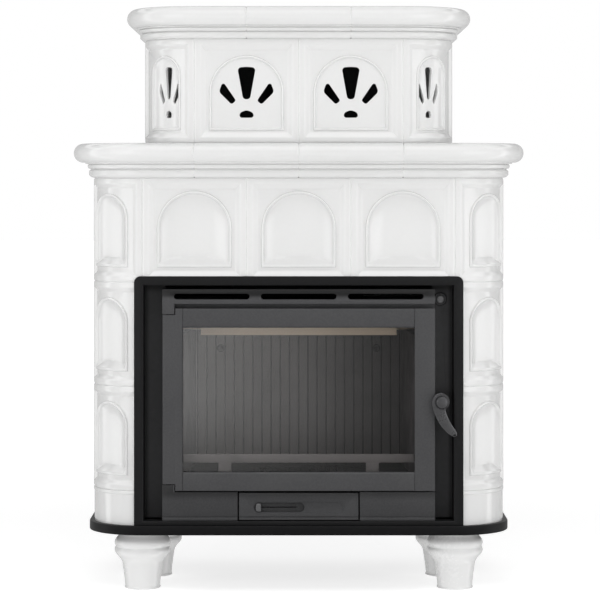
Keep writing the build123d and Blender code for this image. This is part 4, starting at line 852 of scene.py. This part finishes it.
def cornice_length(cornice, path, shelf):
    """A length of cornice along its stations, with the shelf behind it."""
    z, height, out = cornice
    return [swept(cornice_section(z, height, out), path), prism(shelf, z + height - SHELF_T, z + height)]


def corner_shelf(half):
    """Plan of the shelf behind the left corner of a cornice."""
    cx, side_y = -half + CORNER_R, ARC_Y + FACE_HALF
    arc = arc_points(cx, ARC_Y, CORNER_R - TILE_T, -90, -180, 16)
    return [(cx + FACE_HALF, FRONT + TILE_T), *arc, (-half + TILE_T, side_y), (SHELF_X, side_y),
            (SHELF_X, SHELF_Y), (cx + FACE_HALF, SHELF_Y)]


def make_cornices():
    """Main cornice and top cornice."""
    side_y = ARC_Y + HALF_TILE + JOINT / 2
    for half, cornice, label, corner_node, side_node in (
            (BODY_HALF, MAIN_CORNICE, "main", "cornice_corner_", "cornice_sides"),
            (CROWN_HALF, TOP_CORNICE, "top", "top_cornice_", "top_cornice_sides")):
        corner = cornice_length(cornice, corner_path(half), corner_shelf(half))
        for name, parts in (("left", corner), ("right", mirrored(corner))):
            glazed(f"{label}_cornice_corner_{name}", parts, corner_node + name)
        run = [(-half, y, -1.0, 0.0) for y in (side_y, (side_y + BACK) / 2, BACK)]
        shelf = [(-half + TILE_T, side_y), (SHELF_X, side_y), (SHELF_X, BACK), (-half + TILE_T, BACK)]
        flank = cornice_length(cornice, run, shelf)
        glazed(f"{label}_cornice_flanks", flank + mirrored(flank), side_node)
    for cornice, x0, x1, node in ((MAIN_CORNICE, 0, MODULE, "cornice_front_right"),
                                  (MAIN_CORNICE, -MODULE, 0, "cornice_front_left"),
                                  (TOP_CORNICE, -HALF_TILE, HALF_TILE, "top_cornice_front")):
        x0, x1 = x0 + JOINT / 2, x1 - JOINT / 2
        run = [(x, FRONT, 0.0, -1.0) for x in (x1, (x0 + x1) / 2, x0)]
        shelf = [(x0, FRONT + TILE_T), (x1, FRONT + TILE_T), (x1, SHELF_Y), (x0, SHELF_Y)]
        glazed(f"moulded_{node}", cornice_length(cornice, run, shelf), node)


def make_plinth():
    """Plain band of the plinth with its small roll along the top."""
    top = ROWS_Z - JOINT / 2
    section = [(-TILE_T, TRAY_Z), (-1.6, TRAY_Z), (-1.5, TRAY_Z + 0.8), (-1.5, top - 8.2), (-0.9, top - 7.6)]
    section += arc_points(-1.9, top - 5.6, 1.9, -35, 0, 4) + arc_points(-1.9, top - 1.9, 1.9, 0, 90, 6)
    section = np.array(section + [(-TILE_T, top)])
    path = corner_stations(-BODY_HALF + CORNER_R, 24, 0.004)
    run = [(-BODY_HALF, y, -1.0, 0.0) for y in (ARC_Y + 0.4, 50.0, BACK)]
    parts = [swept(section, stations, 0.6) for stations in (path, run)]
    glazed("plinth_band_left", parts, "plinth_left")
    glazed("plinth_band_right", mirrored(parts), "plinth_right")


# ---------------------------------------------------------------- feet
def lathe(profile, x, y, z=0.0, steps=72, axis="z"):
    """Closed turned shape from a closed (radius, height) profile."""
    r, h = np.asarray(profile, float).T
    rings = []
    for a in np.arange(steps) * 2 * math.pi / steps:
        c, s = r * math.cos(a), r * math.sin(a)
        rings.append(np.stack([x + c, y + s, z + h] if axis == "z" else [x + c, y + h, z + s], 1))
    return loft([*rings, rings[0]])


def make_feet():
    """Four glazed feet, turned to one profile and bored for their bolts."""
    bore = [(5.5, 24.0), (13.0, 24.0), (13.0, 1.0), (14.0, 0.0)]
    shaft = [(37.2, 0.0), (38.6, 0.7), (39.1, 2.0), (38.7, 3.4), (37.9, 4.6), (37.8, 6.5), (38.5, 15.0),
             (39.7, 26.0), (41.2, 36.0), (42.6, 45.0), (43.5, 52.0), (44.2, 56.0), (45.4, 59.4), (47.4, 62.8)]
    bulge = [(50.2, 66.4), (53.4, 69.9), (56.4, 73.2), (58.8, 76.6), (60.0, 79.6), (60.4, 82.4), (60.2, 85.2),
             (59.4, 87.6), (58.5, 89.4), (58.2, 90.8), (58.7, 92.4), (59.7, 94.4), (60.5, 97.0), (60.6, 99.8)]
    neck = [(59.9, 102.9), (58.3, 106.1), (55.9, 109.2), (52.9, 112.4), (50.4, 115.6), (48.8, 119.0),
            (48.0, 122.6), (47.6, 125.0), (5.5, 125.0)]
    for row, (x, behind) in (("front", FRONT_FOOT), ("rear", REAR_FOOT)):
        for side, name in SIDES:
            turned = [lathe(bore + shaft + bulge + neck, side * x, FRONT + behind)]
            # the feet take the lighter glaze: painted light
            foot = solid(f"turned_foot_{row}_{name}", turned, LIT_FOOT_GLAZE, 40.0)
            dress(foot, "stove", [f"foot_{row}_{name}"])


# ---------------------------------------------------------------- softened copies of castings and sheets
def bevelled(piece, radius, segments=2, angle=30.0):
    """Rounds the sharp edges of a piece and applies the result."""
    bevel = piece.modifiers.new("edges", "BEVEL")
    bevel.width = radius * MM
    bevel.segments = segments
    bevel.limit_method = "ANGLE"
    bevel.angle_limit = math.radians(angle)
    bevel.use_clamp_overlap = False
    bevel.miter_outer = "MITER_ARC"
    finished(piece)
    smooth(piece.data, 30.0)
    return piece


def softened(name, node, body, radius, material_used, segments=2, second=None, chosen=None, trims=()):
    """Copy of a CAD node with rounded edges, standing for it. Chosen front faces get a second material, and
    the outer faces are drawn in by the trims."""
    mesh = nodes[node].data.copy()
    mesh.name = name
    bm = bmesh.new()
    bm.from_mesh(mesh)
    bmesh.ops.remove_doubles(bm, verts=bm.verts, dist=0.01 * MM)
    bmesh.ops.dissolve_limit(bm, angle_limit=math.radians(0.6), verts=bm.verts, edges=bm.edges)
    bm.to_mesh(mesh)
    bm.free()
    mesh.materials.clear()
    mesh.materials.append(material_used)
    if second:
        mesh.materials.append(second)
        for face in mesh.polygons:
            x, y, z = (c / MM for c in face.center)
            face.material_index = int(face.normal.y < -0.9 and chosen(x, y, z))
    low, high = (np.array(fn([v.co[:] for v in mesh.vertices], axis=0)) for fn in (np.min, np.max))
    near = 0.2 * MM
    for vertex in mesh.vertices:
        for axis, trim in enumerate(trims):
            if abs(vertex.co[axis] - low[axis]) < near:
                vertex.co[axis] += trim * MM
            elif abs(vertex.co[axis] - high[axis]) < near:
                vertex.co[axis] -= trim * MM
    dress(bevelled(link(name, mesh), radius, segments), body, [node])


def make_castings():
    """Cast front, door, drawer, surround and the boards of the fire chamber."""
    softened("black_surround", "surround_frame", "stove", 0.7, BLACK_PAINT,
             # the recessed back flanges of the surround take the grey paint: painted light
             second=LIT_PANEL_PAINT, chosen=lambda x, y, z: y > FRONT + 50)
    softened("tray_with_rolled_edge", "base_tray", "stove", 2.2, TRAY_PAINT, 3)
    # the base of the front takes the darker casting with painted shade
    softened("cast_front", "front_plate", "stove", 0.5, SHADED_STRIP_IRON,
             second=SHADED_BASE_IRON, chosen=lambda x, y, z: z < 212)
    softened("cast_door", "door_frame", "door", 1.3, CAST_IRON, 3, trims=(0.0, 0.0, 1.5))
    # the drawer front takes the darker casting with painted shade as well
    softened("cast_drawer_front", "ash_drawer_front", "drawer", 0.45, SHADED_BASE_IRON,
             trims=(0.6, 0.0, 0.6))
    softened("folded_ash_pan", "ash_pan", "drawer", 0.5, DARK_SHEET)
    softened("cast_log_bar", "log_retainer", "stove", 1.4, LOG_BAR_IRON)
    softened("cast_hearth", "hearth_plate", "stove", 0.8, HEARTH_IRON)
    softened("barred_grate", "grate", "stove", 0.8, HEARTH_IRON)
    softened("side_slabs", "side_linings", "stove", 1.6, LINING_CLAY)
    softened("latch_spindle", "latch_cam", "handle", 0.6, HANDLE_IRON)
    softened("folded_glass_clips", "glass_clips", "door", 0.5, STEEL)
    softened("turned_hinge_pins", "hinge_pins", "stove", 0.5, DARK_SHEET)
    softened("hexagon_bolts", "foot_bolts", "stove", 0.5, STEEL)


def make_air_slide():
    """Air slider with its knob, and the floor of the shallow pocket that the knob runs in."""
    floor_y, plate_y, stem_y, grip_y = (-218.6, -216.0), (-210.2, -207.5), (-220.0, -209.8), (-227.5, -219.4)
    slot = stadium(-90.4, -4.6, TRACK_Z, 2.0)
    floor = flat_plate(stadium(-93.9, 12.5, TRACK_Z, 20.4), [slot], *floor_y)
    # the pocket floor takes the darker casting: painted shade
    dress(solid("slide_pocket_floor", floor, SHADED_RECESS_IRON), "drawer", [])
    plate = box_outline(-107.5, 24.5, 169.9, 196.9)
    holes = [np.array(arc_points(KNOB_X + reach, TRACK_Z, 7.0, 0, 345, 24)) for reach in (30, 55, 80)]
    stem = stadium(KNOB_X - 2.0, KNOB_X + 2.0, TRACK_Z, 1.3)
    parts = flat_plate(np.array(plate), holes, *plate_y) + flat_plate(stem, [], *stem_y)
    slide = solid("air_slide_plate", parts, SLIDE_PAINT)
    half = 8.4
    knob = box_outline(KNOB_X - 3.6, KNOB_X + 7.2, TRACK_Z - half, TRACK_Z + half)
    knob = rounded(knob, [4.6, 1.8, 1.8, 4.6])
    grip = bevelled(solid("air_slide_grip", flat_plate(knob, [], *grip_y), GRIP_METAL), 1.0, 3)
    dress(slide, "slider", ["air_slider"])
    dress(grip, "slider", [])


def make_damper():
    """Damper rod with a flat ringed knob, and the collar it runs through."""
    knob_back, rod_clear, knob_share = -170.0, 6.0, 0.76
    mesh = nodes["damper"].data.copy()
    mesh.name = "damper_rod"
    mesh.materials.clear()
    mesh.materials.append(KNOB_METAL)
    for vertex in mesh.vertices:
        x, y, z = (c / MM for c in vertex.co)
        if y < knob_back and math.hypot(x - DAMPER_X, z - DAMPER_Z) > rod_clear:
            vertex.co.x = (DAMPER_X + knob_share * (x - DAMPER_X)) * MM
            vertex.co.z = (DAMPER_Z + knob_share * (z - DAMPER_Z)) * MM
    smooth(mesh)
    dress(link("damper_rod", mesh), "damper_rod", ["damper"])
    knob = [(0, -180.8), (4.4, -180.8), (5.0, -181.2), (6.4, -181.4), (7.4, -180.8), (7.9, -179.6),
            (7.9, -175.4), (0, -175.4)]
    collar = [(8.4, -176.4), (12.2, -176.4), (13.0, -175.8), (13.2, -174.6), (8.4, -174.6)]
    for name, profile, used, body, slot in (("damper_knob_ring", knob, KNOB_METAL, "damper_rod", "steel"),
                                            ("damper_collar", collar, LIT_PANEL_PAINT, "stove", "black_steel")):
        turned = lathe(profile, DAMPER_X, 0.0, DAMPER_Z, 48, "y")
        dress(solid(name, [turned], used), body, [])


def make_fire_chamber():
    """Ribbed fireback with its bolts, and the deflector board over the fire."""
    rib_half, rib_front, pitch, count = 8.8, 113.5, 20.8, 26
    section = rounded(box_outline(-rib_half, rib_half, rib_front, 121.0), [1.3, 1.3, 0.2, 0.2], 4)
    rib = solid("one_rib", [prism(section, 239.2, 545.6)], FIRE_IRON)
    ribs = set_on("ribs", rib, [((i - (count - 1) / 2) * pitch, 0, 0) for i in range(count)], FIRE_IRON)
    plate = box_outline(-280, 280, 120.0, CHAMBER_BACK)
    back = solid("ribbed_fireback", [prism(plate, 238.7, 546.1)], HEARTH_IRON)
    joined(back, [ribs])
    back.data.materials.append(FIRE_IRON)
    for face in back.data.polygons:
        face.material_index = int(face.center.y < 119.8 * MM)
    dress(back, "stove", ["fireback"])
    profile = [(0, -1.6), (3.4, -1.6), (4.2, -3.2), (6.0, -3.2), (6.4, -1.0), (8.6, -1.0), (9.0, -0.4),
               (9.0, 0.6), (0, 0.6)]
    bolt = solid("one_bolt", [lathe(profile, 0.0, 0.0, 0.0, 24, "y")], HEARTH_IRON)
    bolts = set_on("fireback_bolts", bolt, [(side * 176, rib_front, 499.4) for side, _ in SIDES], HEARTH_IRON)
    dress(bolts, "stove", [])
    front, half = -124.5, 212
    right = [(half, front), (216, 30), (279, 46), (279, CHAMBER_BACK)]
    outline = [(-half, front), *right, *[(-x, y) for x, y in right[:0:-1]]]
    lip = box_outline(-half - 0.4, half + 0.4, front - 0.1, front + 60)
    parts = [prism(outline, 546.4, 562.1), prism(lip, 543.6, 547.0)]
    board = bevelled(solid("baffle_slab", parts, BAFFLE_CLAY), 0.8)
    dress(board, "stove", ["baffle"])


def make_small_parts():
    """Rope seal of the door, and the screws of the back panel."""
    half, bottom, top, y, radius = 268.05, 226.15, 598.35, -207.65, 40.0
    outline = rounded(box_outline(-half, half, bottom, top), [radius] * 4, 10)
    mesh = bpy.data.meshes.new("twisted_rope_seal")
    count = len(outline)
    edges = [(i, (i + 1) % count) for i in range(count)]
    mesh.from_pydata([(a * MM, y * MM, b * MM) for a, b in outline], edges, [])
    turns, points = 40, 1200
    twist = 2 * math.pi * turns / points
    seal = modelled(link("twisted_rope_seal", mesh), TWISTED_ROPE, Count=points, Twist=twist, Strands=4,
                    Radius=0.0045, Groove=0.07, Finish=ROPE)
    smooth(seal.data, 60.0)
    dress(seal, "door", ["door_seal"])
    profile = [(0, 1.2), (1.5, 1.4), (2.0, 2.8), (3.4, 2.9), (4.9, 2.2), (5.8, 1.0), (6.0, 0.3), (6.0, 0.0),
               (0, 0.0)]
    screw = solid("one_screw", [lathe(profile, 0.0, 0.0, 0.0, 28, "y")], STEEL)
    places = [(side * x, BACK + 2, z) for x, heights in ((419, (170, 440, 662, 864)), (308, (988, 1150)))
              for z in heights for side, _ in SIDES]
    dress(set_on("dome_screws", screw, places, STEEL), "stove", ["back_screws"])


def joined(piece, others, angle=SHARP):
    """Takes the meshes of other pieces into one piece."""
    bm = bmesh.new()
    for source in (piece, *others):
        bm.from_mesh(source.data)
    bm.to_mesh(piece.data)
    bm.free()
    for other in others:
        removed(other)
    smooth(piece.data, angle)


def carry_over(names, used):
    """Material for CAD nodes that are shown as they are."""
    for name in names:
        mesh = nodes[name].data
        mesh.materials.clear()
        mesh.materials.append(used)
        smooth(mesh, 30.0)


# ---------------------------------------------------------------- handle
def curve_through(points):
    """Smooth open line through points."""
    steps = 6
    p = np.array([points[0], *points, points[-1]], float)
    line = []
    for i in range(1, len(p) - 2):
        for k in range(steps):
            t = k / steps
            a, b, c, d = p[i - 1], p[i], p[i + 1], p[i + 2]
            line.append(0.5 * (2 * b + (c - a) * t + (2 * a - 5 * b + 4 * c - d) * t * t
                               + (3 * b - a - 3 * c + d) * t ** 3))
    line.append(p[-2])
    return [tuple(point) for point in line]


def make_handle():
    """Cast lever: a crescent round a flat boss, running out into a slim tail."""
    outside = curve_through([
        (1.5, 20.0), (-4.5, 19.8), (-11.5, 16.8), (-17.0, 10.6), (-19.9, 1.6), (-19.0, -10.0),
        (-15.0, -24.0), (-8.6, -38.6), (1.0, -53.0), (12.4, -64.6), (21.4, -70.9), (26.4, -72.6),
        (30.6, -70.8), (32.0, -66.4), (29.2, -59.4), (20.4, -46.4), (13.6, -33.4), (9.4, -22.4),
        (7.2, -14.6)])
    parts = []
    for inner, y0, y1 in ((13.2, -242.4, -236.0), (11.0, -236.6, -228.0)):
        hollow = arc_points(0, 0, inner, -62, -278, 30)
        ring = np.array([*outside, *hollow]) + (HANDLE_X, HANDLE_Z)
        layer = solid(f"lever_{len(parts)}", flat_plate(ring, [], y0, y1), HANDLE_IRON)
        parts.append(bevelled(layer, 1.5, 4, 50.0))
    profile = [(0, -243.2), (7.4, -243.2), (7.9, -243.25), (8.7, -243.9), (9.4, -244.4), (10.6, -244.5),
               (11.6, -244.1), (12.2, -243.2), (12.3, -242.0), (12.3, -224.0), (0, -224.0)]
    boss = solid("lever_casting", [lathe(profile, HANDLE_X, 0.0, HANDLE_Z, 64, "y")], HANDLE_IRON)
    joined(boss, parts, 24.0)
    dress(boss, "handle", ["door_handle"])


# ---------------------------------------------------------------- setting
def area_light(name, place, aim, power, width, height):
    """Soft box that looks at a point."""
    lamp = bpy.data.lights.new(name, "AREA")
    lamp.shape = "RECTANGLE"
    lamp.size, lamp.size_y = width, height
    lamp.energy = power
    holder = link(name, lamp)
    holder.location = place
    holder.rotation_euler = (Vector(aim) - Vector(place)).to_track_quat("-Z", "Y").to_euler()
    holder.visible_camera = False
    return holder


def mirrored_light(tree, singular):
    """Brightness of what the stove mirrors: a darker front, a bright ceiling with a dim bar across it, strips
    at the sides, and a low card to the left that only the smooth pane picks up."""
    way = added(tree, "ShaderNodeTexCoord").outputs["Generated"]
    x, y, z = added(tree, "ShaderNodeSeparateXYZ", {0: way}).outputs
    room = ranged(tree, y, -0.9, -0.3, 0.11, 0.6)
    from_bar = maths(tree, "ABSOLUTE", maths(tree, "SUBTRACT", z, 0.68))
    ceiling = ranged(tree, z, 0.47, 0.51, 0.0, 1.5)
    ceiling = maths(tree, "MULTIPLY", ceiling, ranged(tree, from_bar, 0.03, 0.06, 0.2, 1.0))
    level = maths(tree, "SQRT", maths(tree, "SUBTRACT", 1.001, maths(tree, "POWER", z, 2.0)))
    strips = ranged(tree, maths(tree, "DIVIDE", maths(tree, "ABSOLUTE", x), level), 0.984, 0.997, 0.0, 1.3)
    card = ranged(tree, x, 0.066, -0.08, 0.0, 1.9)
    low = ranged(tree, z, -0.044, -0.058, 0.0, 1.0)
    low = maths(tree, "MULTIPLY", low, ranged(tree, z, -0.125, -0.085, 0.32, 1.0))
    near = ranged(tree, y, -0.9, -0.985, 0.0, 1.0)
    card = maths(tree, "MULTIPLY", card, maths(tree, "MULTIPLY", low, near))
    card = maths(tree, "MULTIPLY", card, singular)
    return maths(tree, "ADD", maths(tree, "MAXIMUM", room, ceiling), maths(tree, "ADD", strips, card))


def make_studio():
    """World of a white studio: even light, its own brightness for reflections, and white for the camera."""
    world = bpy.data.worlds.new("studio")
    bpy.context.scene.world = world
    world.use_nodes = True
    tree = world.node_tree
    path = added(tree, "ShaderNodeLightPath").outputs
    even = tree.nodes["Background"]
    even.inputs["Color"].default_value = WHITE
    even.inputs["Strength"].default_value = 0.2
    seen = {"Color": WHITE, "Strength": mirrored_light(tree, path["Is Singular Ray"])}
    room = added(tree, "ShaderNodeBackground", seen).outputs[0]
    white = added(tree, "ShaderNodeBackground", {"Color": WHITE}).outputs[0]
    mirror = maths(tree, "MAXIMUM", path["Is Glossy Ray"], path["Is Transmission Ray"])
    light = added(tree, "ShaderNodeMixShader", {0: mirror, 1: even.outputs[0], 2: room}).outputs[0]
    whole = added(tree, "ShaderNodeMixShader", {0: path["Is Camera Ray"], 1: light, 2: white}).outputs[0]
    tree.links.new(whole, tree.nodes["World Output"].inputs["Surface"])


def make_floor():
    """Pale floor that glows a little, and to the camera more so with distance."""
    mesh = bpy.data.meshes.new("floor")
    reach = 30.0
    mesh.from_pydata([(x, y, 0) for x, y in box_outline(-reach, reach, -reach, reach)], [], [(0, 1, 2, 3)])
    made, tree, shader, place = started("pale_floor")
    far = added(tree, "ShaderNodeVectorMath", {0: place}, operation="LENGTH").outputs["Value"]
    seen = added(tree, "ShaderNodeLightPath").outputs["Is Camera Ray"]
    sight = maths(tree, "MULTIPLY", ranged(tree, far, 1.0, 3.0, 0.27, 0.4), seen)
    tree.links.new(maths(tree, "ADD", sight, 0.48), shader["Emission Strength"])
    values = {"Base Color": (0.62, 0.62, 0.62, 1.0), "Emission Color": WHITE, "Roughness": 0.9}
    for label, value in values.items():
        shader[label].default_value = value
    mesh.materials.append(made)
    floor = link("floor", mesh)
    floor.visible_glossy = floor.visible_transmission = False


def make_lights():
    """Soft boxes that no surface mirrors, and two side walls that show in the glaze."""
    boxes = [area_light("low_front_fill", (0.0, -3.4, 0.35), (0, 0, 0.08), 20, 4.0, 0.6),
             area_light("top_box", (0.0, -1.7, 3.1), (0, -0.1, 0.8), 26, 2.8, 1.4),
             area_light("high_front_box", (0.0, -2.9, 1.9), (0, 0, 1.0), 4, 2.2, 0.9)]
    for side, _ in SIDES:
        place = (side * 1.15, -0.75, 1.0)
        boxes.append(area_light(f"side_box_{side}", place, (0, -0.15, 0.7), 1.7, 0.4, 1.4))
    for box in boxes:
        box.visible_glossy = box.visible_transmission = False
    for side, _ in SIDES:
        place = (side * 2.3, -2.5, 1.05)
        wall = area_light(f"side_wall_{side}", place, (place[0], 0.0, place[2]), 16.5, 2.5, 2.1)
        wall.visible_transmission = False


def make_camera():
    """Camera at the photograph's place."""
    distance = 5200.0          # from the tile faces
    camera = bpy.data.cameras.new("camera")
    camera.sensor_width = 36.0
    camera.lens = 146.8
    camera.shift_x, camera.shift_y = 0.0022, -0.2
    camera.clip_end = 60.0
    holder = link("camera", camera)
    holder.location = (0.0, (FRONT - distance) * MM, 0.8795)
    holder.rotation_euler = (math.pi / 2, 0, 0)
    bpy.context.scene.camera = holder
    bpy.context.scene.view_settings.view_transform = "Standard"


def carry_back_panel():
    """Galvanised back panel with a sooty inner side."""
    carry_over(["back_panel"], BACK_SHEET)
    mesh = nodes["back_panel"].data
    mesh.materials.append(INNER_SHEET)
    for face in mesh.polygons:
        face.material_index = int(face.normal.y < -0.5)


make_tiles()
make_cornices()
make_plinth()
make_feet()
make_castings()
make_air_slide()
make_damper()
make_fire_chamber()
make_small_parts()
make_handle()
carry_over(["support_frame", "top_cover", "smoke_box", "flue_pipe", "firebox_shell"], DARK_SHEET)
carry_back_panel()
carry_over(["door_glass"], GLASS)
make_floor()
make_studio()
make_lights()
make_camera()
